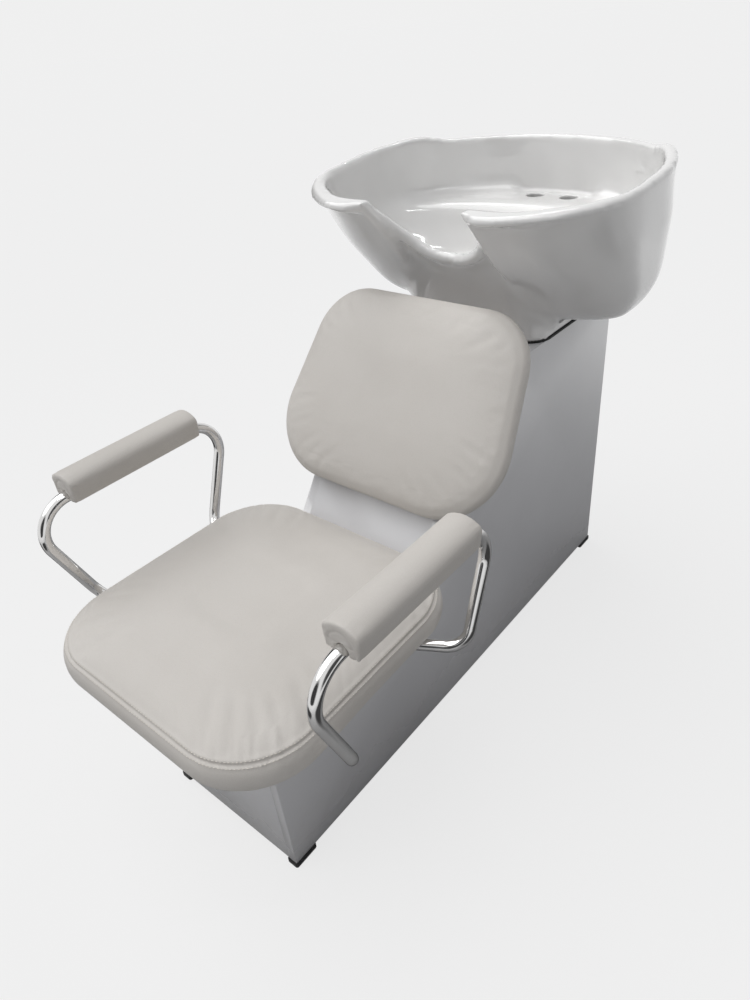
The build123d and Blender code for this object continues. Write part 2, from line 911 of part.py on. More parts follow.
with BuildPart() as basin_hollow:
    loft(
        basin_sections(
            skirt_z - overrun, bowl_top_z, skin_rows[:-2], ceramic, hollow_front_share
        )
    )
    split(bisect_by=Plane.XY.offset(tap_deck_z - ceramic), keep=Keep.BOTTOM)
    add(pedestal.part, mode=Mode.SUBTRACT)
    for z in (column_z, lip_z):
        with BuildSketch(Plane.XY.offset(z)):
            add(pedestal_outline(z, inset=ceramic, rear=overrun))
    loft()
    add(bowl_outset.part, mode=Mode.SUBTRACT)

with BuildPart() as basin:
    loft(basin_sections(skirt_z, bowl_top_z, skin_rows))
    # The neck stands back between two lobes, whose creases run out and down
    with BuildSketch(Plane.XZ.offset(-basin_front_y + overrun)) as recess:
        with BuildLine():
            Polyline(
                (-neck_half, notch_z),
                (-neck_half, lip_z),
                (-pedestal_half + neck_crease, column_z),
                (pedestal_half - neck_crease, column_z),
                (neck_half, lip_z),
                (neck_half, notch_z),
                close=True,
            )
        make_face()
    extrude(amount=-(pedestal_y - basin_front_y) - 2 * overrun, mode=Mode.SUBTRACT)
    add(pedestal.part)
    neck_plane = Plane.YZ.offset(-neck_half)
    with BuildSketch(neck_plane):
        with BuildLine():
            Polyline(
                (neck_y, lip_z),
                (neck_y - neck_flare, notch_z),
                (pedestal_y, notch_z),
                (pedestal_y, lip_z),
                close=True,
            )
        make_face()
    extrude(amount=2 * neck_half)
    add(basin_hollow.part, mode=Mode.SUBTRACT)
    loft(basin_sections(bowl_floor_z, tap_deck_z, bowl_rows), mode=Mode.SUBTRACT)
    loft(
        basin_sections(tap_deck_z, bowl_top_z + overrun, well_rows),
        mode=Mode.SUBTRACT,
    )
    # The rim climbs from the front to its rear corners, then steps down to the rear edge
    with BuildSketch(Plane.YZ.offset(-basin_half - overrun)):
        with BuildLine():
            FilletPolyline(
                (basin_front_y - basin_half, rim_side_z - rim_front_drop),
                (basin_front_y, rim_side_z - rim_front_drop),
                (basin_rear_y - rim_corner_inset, rim_side_z + rim_rise),
                (basin_rear_y - rim_step_inset, rim_side_z),
                (basin_rear_y + overrun, rim_side_z),
                radius=rim_step_r,
            )
            Polyline(
                (basin_rear_y + overrun, rim_side_z),
                (basin_rear_y + overrun, bowl_top_z + overrun),
                (basin_front_y - basin_half, bowl_top_z + overrun),
                (basin_front_y - basin_half, rim_side_z - rim_front_drop),
            )
        make_face()
    extrude(amount=2 * (basin_half + overrun), mode=Mode.SUBTRACT)
    # Neck notch, tap holes and drain hole
    with BuildSketch(Plane.XZ.offset(-basin_front_y + overrun)):
        with Locations((0, notch_z)):
            Circle(notch_r)
            Rectangle(2 * notch_r, bowl_top_z - notch_z + overrun, align=(Align.CENTER, Align.MIN))
    extrude(amount=-(drain_y - basin_front_y), mode=Mode.SUBTRACT)
    with BuildSketch(Plane.XY.offset(tap_deck_z + overrun)):
        with Locations((0, tap_y)):
            with GridLocations(tap_spacing, 0, 2, 1):
                Circle(tap_hole_r)
    extrude(amount=-ceramic - 2 * overrun, mode=Mode.SUBTRACT)
    with BuildSketch(Plane.XY.offset(bowl_floor_z + overrun)):
        with Locations((0, drain_y)):
            Circle(drain_hole_r)
    extrude(amount=-ceramic - 2 * overrun, mode=Mode.SUBTRACT)
    with BuildSketch(Plane.XY.offset(under_bowl_z)):
        with Locations(*basin_bolt_spots):
            Circle(plate_bolt_r)
    extrude(amount=basin_bolt_grip, mode=Mode.SUBTRACT)
pieces["basin"] = basin

# Tilt hinge: a plate on the deck, a plate under the bowl, ears between them on one cross pin
with BuildPart() as foot_gasket:
    with BuildSketch(Plane.XY.offset(column_z)):
        add(pedestal_outline(column_z + gasket))
        add(pedestal_outline(column_z + gasket, inset=ceramic, rear=overrun), mode=Mode.SUBTRACT)
    extrude(amount=gasket)
pieces["foot_gasket"] = foot_gasket


def tilt_plate(base, ear_inner, way):
    """A plate from base, thickening by way, with two ears that reach past the pin."""
    rear = hinge_y + ear_r
    foot = base + way * plate
    with BuildPart() as hinge_plate:
        with BuildSketch(Plane.XY.offset(base)):
            with Locations((0, (plate_front_y + rear) / 2)):
                Rectangle(2 * plate_half, rear - plate_front_y)
        extrude(amount=way * plate)
        for side in (-1, 1):
            with BuildSketch(Plane.YZ.offset(side * ear_inner)):
                with Locations((hinge_y, hinge_z)):
                    Circle(ear_r)
                with Locations((hinge_y, (foot + hinge_z) / 2)):
                    Rectangle(2 * ear_r, abs(foot - hinge_z))
            extrude(amount=side * plate)
        with Locations((0, hinge_y, hinge_z)):
            Cylinder(pin_r + running_gap, 4 * plate_half, rotation=(0, 90, 0), mode=Mode.SUBTRACT)
    return hinge_plate


with BuildPart() as tilt_base_plate:
    add(tilt_plate(column_z, ear_x, 1).part)
    with BuildSketch(Plane.XY.offset(column_z - overrun)):
        with Locations((0, rear_y - (deck_hole_front + deck_hole_rear) / 2)):
            Rectangle(2 * deck_hole_half, deck_hole_front - deck_hole_rear)
        with Locations(*plate_bolt_spots):
            Circle(plate_bolt_r + hole_gap)
    extrude(amount=plate + 2 * overrun, mode=Mode.SUBTRACT)
pieces["tilt_base_plate"] = tilt_base_plate

with BuildPart() as tilt_top_plate:
    add(tilt_plate(under_bowl_z, ear_x + plate + washer, -1).part)
    with BuildSketch(Plane.XY.offset(under_bowl_z + overrun)):
        with Locations((0, drain_y)):
            Circle(plate_hole_r)
        with Locations(*basin_bolt_spots):
            Circle(plate_bolt_r + hole_gap)
    extrude(amount=-plate - 2 * overrun, mode=Mode.SUBTRACT)
pieces["tilt_top_plate"] = tilt_top_plate


def cross_pieces(r_outer, r_inner, start, length):
    """A pair of round pieces on the cross pin, one at each side."""
    with BuildPart() as pair:
        for side in (-1, 1):
            with BuildSketch(Plane.YZ.offset(side * start)):
                with Locations((hinge_y, hinge_z)):
                    Circle(r_outer)
                    Circle(r_inner, mode=Mode.SUBTRACT)
            extrude(amount=side * length)
    return pair


nut_start = ear_x + 2 * plate + washer
pieces["tilt_friction_washers"] = cross_pieces(ear_r, pin_r + running_gap, ear_x + plate, washer)
pieces["tilt_nuts"] = cross_pieces(nut_r, pin_r + running_gap, nut_start, nut_width)

with BuildPart() as tilt_hinge_pin:
    with Locations((0, hinge_y, hinge_z)):
        Cylinder(pin_r, 2 * (nut_start + nut_width), rotation=(0, 90, 0))
pieces["tilt_hinge_pin"] = tilt_hinge_pin

pieces["basin_bolts"] = bolts(
    Plane.XY.offset(under_bowl_z - plate),
    basin_bolt_spots,
    plate_bolt_r,
    plate_bolt_head_r,
    plate_bolt_head,
    plate + basin_bolt_grip,
)
pieces["base_plate_bolts"] = bolts(
    Plane(origin=(0, 0, column_z + plate), x_dir=(1, 0, 0), z_dir=(0, 0, -1)),
    [(x, -y) for x, y in plate_bolt_spots],
    plate_bolt_r,
    plate_bolt_head_r,
    plate_bolt_head,
    plate + board,
)

# Waste: each turned piece is a stepped profile about the drain's axis
drain_axis = Axis((0, drain_y, 0), (0, 0, 1))


def turned(*steps):
    """A solid of revolution about the drain, from (inner, outer, low, high) steps."""
    with BuildPart() as piece:
        for inner, outer, low, high in steps:
            with BuildSketch(Plane.XY.offset(low)):
                with Locations((0, drain_y)):
                    Circle(outer)
                    if inner > 0:
                        Circle(inner, mode=Mode.SUBTRACT)
            extrude(amount=high - low)
    return piece


flange_z = bowl_floor_z + flange
waste_end_z = flange_z - waste_length
seat_floor_z = flange_z - waste_seat_depth
pieces["waste_flange"] = turned(
    (waste_seat_r, flange_r, bowl_floor_z, flange_z),
    (waste_seat_r, waste_r, seat_floor_z, bowl_floor_z),
    (waste_bore_r, waste_r, waste_end_z, seat_floor_z),
)

with BuildPart() as waste_strainer:
    add(
        turned(
            (0, strainer_r, seat_floor_z, seat_floor_z + strainer_disc),
            (
                0,
                strainer_knob_r,
                seat_floor_z + strainer_disc,
                seat_floor_z + strainer_disc + strainer_knob_height,
            ),
        ).part
    )
    with BuildSketch(Plane.XY.offset(seat_floor_z - overrun)):
        with Locations((0, drain_y)):
            with PolarLocations((strainer_knob_r + waste_bore_r) / 2, strainer_holes):
                Circle(strainer_hole_r)
    extrude(amount=strainer_disc + 2 * overrun, mode=Mode.SUBTRACT)
pieces["waste_strainer"] = waste_strainer

seal_z = under_bowl_z - seal
pieces["waste_seal"] = turned((waste_r, waste_nut_r, seal_z, under_bowl_z))
pieces["waste_nut"] = turned((waste_r, waste_nut_r, seal_z - waste_nut_height, seal_z))
socket_floor_z = waste_end_z - socket_wall
tail_end_z = socket_floor_z - tail_length
pieces["waste_tail"] = turned(
    (waste_r, waste_r + socket_wall, waste_end_z, waste_end_z + socket_length),
    (tail_bore_r, waste_r + socket_wall, socket_floor_z, waste_end_z),
    (tail_bore_r, tail_r, tail_end_z, socket_floor_z),
)

# Hose down the column and out through the rear rail
outlet_start_y = rear_y - outlet_inset
with BuildPart() as drain_hose:
    with BuildLine() as hose_route:
        FilletPolyline(
            (0, drain_y, tail_end_z + hose_grip),
            (0, drain_y, outlet_z),
            (0, outlet_start_y + hose_grip, outlet_z),
            radius=hose_bend,
        )
    with BuildSketch(Plane(origin=hose_route.line @ 0, z_dir=hose_route.line % 0)):
        Circle(tail_r + soft_gap + hose_wall)
        Circle(tail_r + soft_gap, mode=Mode.SUBTRACT)
    sweep()
pieces["drain_hose"] = drain_hose

outlet_steps = (
    (tail_r, outlet_inset, board + outlet_nut),
    (outlet_r, board + outlet_nut, -outlet_flange),
    (outlet_r, -outlet_flange, -outlet_reach),
)
with BuildPart() as drain_outlet:
    for r, start, end in outlet_steps:
        with BuildSketch(outlet_plane.offset(start)):
            Circle(r)
        extrude(amount=end - start)
    with BuildSketch(outlet_plane):
        Circle(outlet_flange_r)
    extrude(amount=-outlet_flange)
    with BuildSketch(outlet_plane.offset(outlet_inset)):
        Circle(outlet_bore_r)
    extrude(amount=-outlet_inset - outlet_reach, mode=Mode.SUBTRACT)
pieces["drain_outlet"] = drain_outlet

with BuildPart() as outlet_ring:
    with BuildSketch(outlet_plane.offset(board)):
        Circle(outlet_flange_r)
        Circle(outlet_r, mode=Mode.SUBTRACT)
    extrude(amount=outlet_nut)
pieces["outlet_nut"] = outlet_ring

# Access door
door_half = inner_half - door_gap
with BuildPart() as rear_door:
    with BuildSketch(Plane.XY.offset(door_low_z)):
        with Locations((0, rear_y - board / 2)):
            Rectangle(2 * door_half, board)
    extrude(amount=door_high_z - door_low_z)
    with BuildSketch(outlet_plane):
        with Locations(*hinge_screw_spots(1)):
            Circle(screw_r)
    extrude(amount=screw_length - leaf, mode=Mode.SUBTRACT)
pieces["rear_door"] = rear_door

def hinge_leaves(side, knuckles):
    """Leaf plates beside the door's axis, with knuckles at the given thirds of their height."""
    with BuildPart() as leaves:
        for middle in hinge_spots_z:
            low = middle - leaf_height / 2
            with Locations(
                (door_hinge_x + side * (knuckle_r + leaf_width / 2 + hole_gap), rear_y + leaf / 2, middle)
            ):
                Box(leaf_width, leaf, leaf_height)
            for third in knuckles:
                knuckle_z = low + (third + 1 / 2) * knuckle_length
                length = knuckle_length - 2 * running_gap
                with Locations((door_hinge_x, door_axis_y, knuckle_z)):
                    Cylinder(knuckle_r, length)
                with Locations(
                    (door_hinge_x + side * (knuckle_r + hole_gap) / 2, rear_y + leaf / 2, knuckle_z)
                ):
                    Box(knuckle_r + hole_gap, leaf, length)
            with Locations((door_hinge_x, door_axis_y, middle)):
                Cylinder(door_pin_r + running_gap, 2 * leaf_height, mode=Mode.SUBTRACT)
        with BuildSketch(outlet_plane.offset(-leaf)):
            with Locations(*hinge_screw_spots(side)):
                Circle(screw_r + running_gap)
        extrude(amount=leaf, mode=Mode.SUBTRACT)
    return leaves


pieces["door_hinge_leaves"] = hinge_leaves(-1, (0, 2))
pieces["door_leaf_plates"] = hinge_leaves(1, (1,))

leaf_plane = outlet_plane.offset(-leaf)
for side, node in ((-1, "hinge_frame_screws"), (1, "hinge_door_screws")):
    pieces[node] = bolts(
        leaf_plane, hinge_screw_spots(side), screw_r, screw_head_r, screw_head, screw_length
    )

with BuildPart() as door_hinge_pins:
    for middle in hinge_spots_z:
        with Locations((door_hinge_x, door_axis_y, middle)):
            Cylinder(door_pin_r, leaf_height)
pieces["door_hinge_pins"] = door_hinge_pins

door_middle_z = (door_low_z + door_high_z) / 2
knob_plane = Plane(
    origin=(door_half - knob_inset, rear_y, door_middle_z), x_dir=(1, 0, 0), z_dir=(0, 1, 0)
)
with BuildPart() as door_knob:
    with BuildSketch(knob_plane):
        Circle(knob_neck_r)
    extrude(amount=knob_reach - knob_head)
    with BuildSketch(knob_plane.offset(knob_reach - knob_head)):
        Circle(knob_r)
    extrude(amount=knob_head)
    fillet(door_knob.faces().sort_by(Axis.Y)[-1].edges(), knob_head / 3)
pieces["door_knob"] = door_knob

catch_x = inner_half - catch_width / 2
catch_face_y = rear_y - board - catch_plate
with BuildPart() as door_catch:
    with Locations((catch_x, catch_face_y - catch_gap - catch_depth / 2, door_middle_z)):
        Box(catch_width, catch_depth, catch_height)
pieces["door_catch"] = door_catch

with BuildPart() as door_catch_plate:
    with Locations((catch_x - door_gap, catch_face_y + catch_plate / 2, door_middle_z)):
        Box(catch_width, catch_plate, catch_height)
pieces["catch_plate"] = door_catch_plate

for node, piece in pieces.items():
    piece.part.label = node
    export_step(piece.part, f"parts/{node}.step")
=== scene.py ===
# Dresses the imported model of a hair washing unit: leatherette seat, back and arm pads, chromed arms,
# a gloss laminated cabinet and a glazed basin. Metres, +Z up, the seat's front looks along -Y.
import bpy
import bmesh
import json
from math import cos, exp, hypot, pi, radians, sin
from mathutils import Matrix, Vector, noise
from mathutils.bvhtree import BVHTree


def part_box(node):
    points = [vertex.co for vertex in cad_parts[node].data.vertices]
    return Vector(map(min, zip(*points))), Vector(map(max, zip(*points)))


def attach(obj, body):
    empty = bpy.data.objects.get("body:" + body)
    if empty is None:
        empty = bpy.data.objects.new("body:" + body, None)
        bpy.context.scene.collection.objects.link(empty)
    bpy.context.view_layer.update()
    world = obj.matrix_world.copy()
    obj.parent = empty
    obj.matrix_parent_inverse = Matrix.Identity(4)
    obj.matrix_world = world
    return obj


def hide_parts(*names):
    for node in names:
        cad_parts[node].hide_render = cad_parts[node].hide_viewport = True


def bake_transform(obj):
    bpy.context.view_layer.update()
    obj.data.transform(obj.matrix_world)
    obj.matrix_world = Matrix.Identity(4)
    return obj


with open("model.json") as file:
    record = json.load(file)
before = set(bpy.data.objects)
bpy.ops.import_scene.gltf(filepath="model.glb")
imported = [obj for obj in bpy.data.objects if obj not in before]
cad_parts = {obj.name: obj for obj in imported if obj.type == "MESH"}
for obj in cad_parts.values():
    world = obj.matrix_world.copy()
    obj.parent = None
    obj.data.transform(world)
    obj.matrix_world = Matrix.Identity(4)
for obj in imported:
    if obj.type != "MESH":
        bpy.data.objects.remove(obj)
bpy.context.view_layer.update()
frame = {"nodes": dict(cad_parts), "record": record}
nodes = frame["nodes"]
print("frame loaded:", len(nodes), "nodes")

# Camera, solved from the cabinet's straight edges
shot = {"place": (0.7324, -0.85705, 1.1535), "yaw": 42.606, "pitch": 34.143, "roll": -5.932, "lens": 26.17}
cameraData = bpy.data.cameras.new("photoView")
cameraData.lens = shot["lens"]
camera = bpy.data.objects.new("photoView", cameraData)
bpy.context.scene.collection.objects.link(camera)
camera.matrix_world = (
    Matrix.Translation(shot["place"])
    @ Matrix.Rotation(radians(shot["yaw"]), 4, "Z")
    @ Matrix.Rotation(radians(90 - shot["pitch"]), 4, "X")
    @ Matrix.Rotation(radians(shot["roll"]), 4, "Z")
)
bpy.context.scene.camera = camera


class Wire:
    # one socket of a material, so that shader maths reads as plain sums
    def __init__(self, finish, socket):
        self.finish = finish
        self.socket = socket

    def maths(self, operation, first, second):
        return self.finish.node("ShaderNodeMath", {"operation": operation}, {0: first, 1: second})

    def __add__(self, other):
        return self.maths("ADD", self, other)

    def __radd__(self, other):
        return self.maths("ADD", other, self)

    def __sub__(self, other):
        return self.maths("SUBTRACT", self, other)

    def __rsub__(self, other):
        return self.maths("SUBTRACT", other, self)

    def __mul__(self, other):
        return self.maths("MULTIPLY", self, other)

    def __rmul__(self, other):
        return self.maths("MULTIPLY", other, self)


class Shading:
    # a node tree, of a material or of the world
    def __init__(self, tree):
        self.tree = tree

    def node(self, kind, settings=None, feeds=None, out=0):
        made = self.tree.nodes.new(kind)
        for key, value in (settings or {}).items():
            setattr(made, key, value)
        for key, value in (feeds or {}).items():
            if isinstance(value, Wire):
                self.tree.links.new(value.socket, made.inputs[key])
            else:
                made.inputs[key].default_value = value
        return Wire(self, made.outputs[out])

    def end(self, wire):
        last = next(node for node in self.tree.nodes if node.bl_idname.startswith("ShaderNodeOutput"))
        self.tree.links.new(wire.socket, last.inputs[0])


class Finish(Shading):
    # one material, built from expressions on its sockets
    def __init__(self, name, flat=None):
        self.material = bpy.data.materials.new(name)
        self.material.use_nodes = True
        super().__init__(self.material.node_tree)
        self.shader = self.tree.nodes["Principled BSDF"]
        for socket, value in (flat or {}).items():
            self.shader.inputs[socket].default_value = value
        self.place = self.node("ShaderNodeTexCoord", out="Object")

    def grain(self, scale, detail=2.0, place=None):
        return self.node(
            "ShaderNodeTexNoise", feeds={"Vector": place or self.place, "Scale": scale, "Detail": detail},
        )

    def cells(self, scale, feature="F1", place=None):
        return self.node(
            "ShaderNodeTexVoronoi", {"feature": feature}, {"Vector": place or self.place, "Scale": scale},
        )

    def turned(self, scale=(1, 1, 1), angle=(0, 0, 0)):
        return self.node("ShaderNodeMapping", feeds={"Vector": self.place, "Scale": scale, "Rotation": angle})

    def along(self, axis):
        return self.node("ShaderNodeSeparateXYZ", feeds={0: self.place}, out=axis)

    def between(self, value, low, high):
        return self.node(
            "ShaderNodeMapRange",
            {"interpolation_type": "SMOOTHSTEP"},
            {"Value": value, "From Min": low, "From Max": high},
        )

    def blendTone(self, share, first, second):
        return self.node("ShaderNodeMix", {"data_type": "RGBA"}, {0: share, 6: first, 7: second}, out=2)

    def give(self, socket, wire):
        self.tree.links.new(wire.socket, self.shader.inputs[socket])

    def relief(self, height, strength=1.0):
        # height is in millimetres
        bump = self.node("ShaderNodeBump", feeds={"Height": height, "Distance": 0.001, "Strength": strength})
        self.give("Normal", bump)


def tone(red, green, blue):
    return (red, green, blue, 1.0)


def leatherFinish(name, light, dark, pebble=820):
    made = Finish(name, {"Specular IOR Level": 0.45, "Sheen Weight": 0.06, "Sheen Roughness": 0.45})
    cloud = made.between(made.grain(5.5, 3), 0.3, 0.72)
    valley = made.between(made.cells(pebble, "DISTANCE_TO_EDGE"), 0.0, 0.22)
    fine = made.grain(2600, 2)
    handled = made.between(made.grain(14, 4), 0.42, 0.75)
    base = made.blendTone(cloud, light, dark)
    made.give("Base Color", made.blendTone((1 - valley) * 0.16, base, tone(0.42, 0.38, 0.33)))
    made.give("Roughness", 0.47 - handled * 0.09 + fine * 0.08)
    made.relief(valley * 0.07 + fine * 0.03 + made.grain(85, 3) * 0.22)
    return made.material


def glazeFinish():
    made = Finish("whiteGlaze", {"IOR": 1.52, "Coat Roughness": 0.03, "Coat IOR": 1.5})
    pooled = made.between(made.grain(7, 2), 0.35, 0.7)
    speck = made.between(made.cells(95), 0.0, 0.035)
    base = made.blendTone(pooled, tone(0.83, 0.825, 0.815), tone(0.79, 0.785, 0.775))
    made.give("Base Color", made.blendTone((1 - speck) * 0.22, base, tone(0.52, 0.5, 0.47)))
    made.give("Roughness", 0.07 + made.grain(40, 3) * 0.05)
    made.give("Coat Weight", 0.75 + made.grain(11, 2) * 0.25)
    made.relief(made.grain(16, 1) * 0.5 + made.grain(190, 2) * 0.012)
    return made.material


def laminateFinish(name, light):
    made = Finish(name, {"Coat Roughness": 0.04})
    dust = 1 - made.between(made.along("Z"), 0.012, 0.16)
    smear = made.between(made.grain(9, 5, made.turned((1, 1, 0.25))), 0.45, 0.8)
    base = made.blendTone(made.between(made.grain(3, 2), 0.3, 0.7), light, tone(0.70, 0.70, 0.715))
    made.give("Base Color", made.blendTone(dust * 0.3 * made.grain(60, 4), base, tone(0.45, 0.42, 0.38)))
    made.give("Roughness", 0.13 + smear * 0.08 + dust * 0.16)
    made.give("Coat Weight", 0.55 - dust * 0.3 + made.grain(30, 2) * 0.1)
    made.relief(made.grain(420, 2) * 0.02 + made.grain(26, 1) * 0.16)
    return made.material


def chipboardFinish():
    made = Finish("rawChipboard", {"Specular IOR Level": 0.25})
    chip = made.node(
        "ShaderNodeTexVoronoi", {"feature": "F1"},
        {"Vector": made.turned((1, 0.45, 1), (0.3, 0.2, 0.5)), "Scale": 260}, out="Color",
    )
    shade = made.node("ShaderNodeSeparateXYZ", feeds={0: chip}, out="X")
    base = made.blendTone(shade, tone(0.66, 0.52, 0.36), tone(0.42, 0.30, 0.18))
    dust = made.between(made.grain(900, 2), 0.4, 0.7)
    made.give("Base Color", made.blendTone(dust * 0.4, base, tone(0.74, 0.63, 0.47)))
    made.give("Roughness", 0.72 + shade * 0.14)
    made.relief(shade * 0.18 + made.grain(1500, 2) * 0.08)
    return made.material


def plyFinish():
    made = Finish("rawPly", {"Specular IOR Level": 0.3})
    figure = made.grain(60, 5, made.turned((1, 0.06, 1)))
    ring = made.node(
        "ShaderNodeTexWave", {"wave_type": "BANDS", "bands_direction": "X"},
        {"Vector": made.turned((1, 0.1, 1)), "Scale": 12, "Distortion": 7, "Detail": 3},
    )
    base = made.blendTone(figure, tone(0.68, 0.50, 0.31), tone(0.50, 0.34, 0.19))
    made.give("Base Color", made.blendTone(ring * 0.35, base, tone(0.36, 0.23, 0.12)))
    made.give("Roughness", 0.6 + figure * 0.2)
    made.relief(figure * 0.15 + ring * 0.05)
    return made.material


def chromeFinish():
    made = Finish("polishedChrome", {"Metallic": 1.0})
    wiped = made.between(made.grain(22, 4), 0.45, 0.8)
    pit = made.between(made.cells(480), 0.0, 0.05)
    made.give("Base Color", made.blendTone((1 - pit) * 0.5, tone(0.78, 0.775, 0.77), tone(0.34, 0.32, 0.30)))
    made.give("Roughness", 0.05 + wiped * 0.07 + (1 - pit) * 0.2)
    made.relief(made.grain(70, 2) * 0.015)
    return made.material


def platedFinish():
    made = Finish("zincPlatedSteel", {"Metallic": 1.0})
    spangle = made.node("ShaderNodeTexVoronoi", feeds={"Vector": made.place, "Scale": 340}, out="Color")
    patch = made.node("ShaderNodeSeparateXYZ", feeds={0: spangle}, out="X")
    made.give("Base Color", made.blendTone(patch, tone(0.62, 0.62, 0.60), tone(0.48, 0.49, 0.50)))
    made.give("Roughness", 0.28 + patch * 0.16 + made.grain(700, 2) * 0.08)
    made.relief(made.grain(1400, 2) * 0.02)
    return made.material


def mouldedFinish(name, light, dark, roughness, texture):
    made = Finish(name, {"Specular IOR Level": 0.45})
    rubbed = made.between(made.grain(28, 4), 0.4, 0.75)
    spark = made.grain(texture, 2)
    made.give("Base Color", made.blendTone(rubbed, dark, light))
    made.give("Roughness", roughness + spark * 0.12 - rubbed * 0.05)
    made.relief(spark * 0.05 + made.cells(texture * 0.5) * 0.03)
    return made.material


def hoseFinish():
    made = Finish("greyDrainHose", {"Specular IOR Level": 0.4})
    cloudy = made.grain(45, 3)
    made.give("Base Color", made.blendTone(cloudy, tone(0.17, 0.17, 0.175), tone(0.26, 0.26, 0.27)))
    made.give("Roughness", 0.42 + made.grain(600, 2) * 0.15)
    made.relief(made.grain(900, 2) * 0.03 + cloudy * 0.1)
    return made.material


finishes = {
    "leatherette": leatherFinish("creamLeatherette", tone(0.65, 0.622, 0.587), tone(0.615, 0.586, 0.55)),
    "glazed_white": glazeFinish(),
    "cabinet_gloss": laminateFinish("glossLaminate", tone(0.735, 0.735, 0.75)),
    "board": chipboardFinish(),
    "ply": plyFinish(),
    "chrome": chromeFinish(),
    "plated_steel": platedFinish(),
    "black_plastic": mouldedFinish("blackMoulding", tone(0.035, 0.034, 0.034), tone(0.018, 0.018, 0.018), 0.42, 1500),
    "black_rubber": mouldedFinish("blackRubber", tone(0.03, 0.03, 0.03), tone(0.015, 0.015, 0.015), 0.68, 900),
    "grey_hose": hoseFinish(),
    "white_plastic": mouldedFinish("whiteMoulding", tone(0.78, 0.78, 0.765), tone(0.72, 0.72, 0.70), 0.34, 1300),
}
for part in frame["record"]["subparts"]:
    surface = nodes[part["node"]].data
    surface.materials.clear()
    surface.materials.append(finishes[part["material_slot"]])
print("finishes:", len(finishes))


def newPiece(name, shape, finish):
    mesh = bpy.data.meshes.new(name)
    shape.to_mesh(mesh)
    shape.free()
    mesh.materials.append(finish)
    for face in mesh.polygons:
        face.use_smooth = True
    piece = bpy.data.objects.new(name, mesh)
    bpy.context.scene.collection.objects.link(piece)
    return piece


weld = {"packed": 2e-6, "turned": 1e-6}


def weldedCopy(node):
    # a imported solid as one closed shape
    shape = bmesh.new()
    shape.from_mesh(nodes[node].data)
    bmesh.ops.remove_doubles(shape, verts=shape.verts, dist=weld["packed"])
    return shape


def settle(piece):
    # the modifiers' result becomes the piece's own mesh
    bpy.context.view_layer.update()
    shown = piece.evaluated_get(bpy.context.evaluated_depsgraph_get())
    done = bpy.data.meshes.new_from_object(shown)
    old = piece.data
    piece.modifiers.clear()
    piece.data = done
    bpy.data.meshes.remove(old)
    done.name = piece.name
    for face in done.polygons:
        face.use_smooth = True


def remesh(piece, voxel):
    cut = piece.modifiers.new("remesh", "REMESH")
    cut.mode = "VOXEL"
    cut.voxel_size = voxel
    settle(piece)


def subdivide(piece):
    soften = piece.modifiers.new("soften", "SUBSURF")
    soften.levels = soften.render_levels = 1
    settle(piece)


def clamped(share):
    return max(0.0, min(1.0, share))


def ramp(value, low, high):
    # 0 at low, 1 at high, smooth between
    share = clamped((value - low) / (high - low))
    return share * share * (3 - 2 * share)


def bell(value, width, middle=0):
    # 1 at the middle, next to nothing two widths away from it
    return exp(-(((value - middle) / width) ** 2))


smoothing = {"pull": 0.5, "swell": 1.04}


def relax(piece, rounds, share=None, full=False, worn=1.0):
    # each round smooths the points, then swells them back by as much, so that only edges are rounded;
    # full leaves the second half out, and hollows fill up; share gives each point its part of the change,
    # worn the part of any inward move that stays
    shape = bmesh.new()
    shape.from_mesh(piece.data)
    shares = [1.0 if share is None else float(share(v)) for v in shape.verts]
    chosen = [v for v, part in zip(shape.verts, shares) if part > 0]
    shares = [part for part in shares if part > 0]
    started = [(v.co.copy(), v.normal.copy()) for v in chosen]

    def pull():
        bmesh.ops.smooth_vert(
            shape, verts=chosen, factor=smoothing["pull"], use_axis_x=True, use_axis_y=True, use_axis_z=True,
        )

    for turn in range(rounds):
        pull()
        if not full:
            kept = [v.co.copy() for v in chosen]
            pull()
            for vertex, before in zip(chosen, kept):
                vertex.co = before + (before - vertex.co) * smoothing["swell"]
    for vertex, part, (before, normal) in zip(chosen, shares, started):
        if (vertex.co - before).dot(normal) < 0:
            part *= worn
        if part < 1:
            vertex.co = before.lerp(vertex.co, part)
    shape.to_mesh(piece.data)
    shape.free()


def keepSkin(piece):
    # the largest connected surface stays, loose specks that the remesh leaves inside it go
    shape = bmesh.new()
    shape.from_mesh(piece.data)
    left = set(shape.verts)
    groups = []
    while left:
        front = [left.pop()]
        group = list(front)
        while front:
            beside = [e.other_vert(v) for v in front for e in v.link_edges]
            front = [v for v in set(beside) if v in left]
            left.difference_update(front)
            group += front
        groups.append(group)
    groups.sort(key=len)
    print(piece.name, "surfaces:", [len(group) for group in groups])
    for group in groups[:-1]:
        bmesh.ops.delete(shape, geom=group, context="VERTS")
    shape.to_mesh(piece.data)
    shape.free()


def reshape(piece, mover):
    # mover takes a point and its outward normal and gives the point's new place
    for vertex, normal in zip(piece.data.vertices, [v.normal.copy() for v in piece.data.vertices]):
        vertex.co = mover(vertex.co.copy(), normal)
    piece.data.update()


cloth = {
    "quality": 5, "mass": 0.3, "tension_stiffness": 20, "compression_stiffness": 20, "shear_stiffness": 8,
    "bending_stiffness": 1.5, "use_pressure": True, "vertex_group_mass": "held",
}


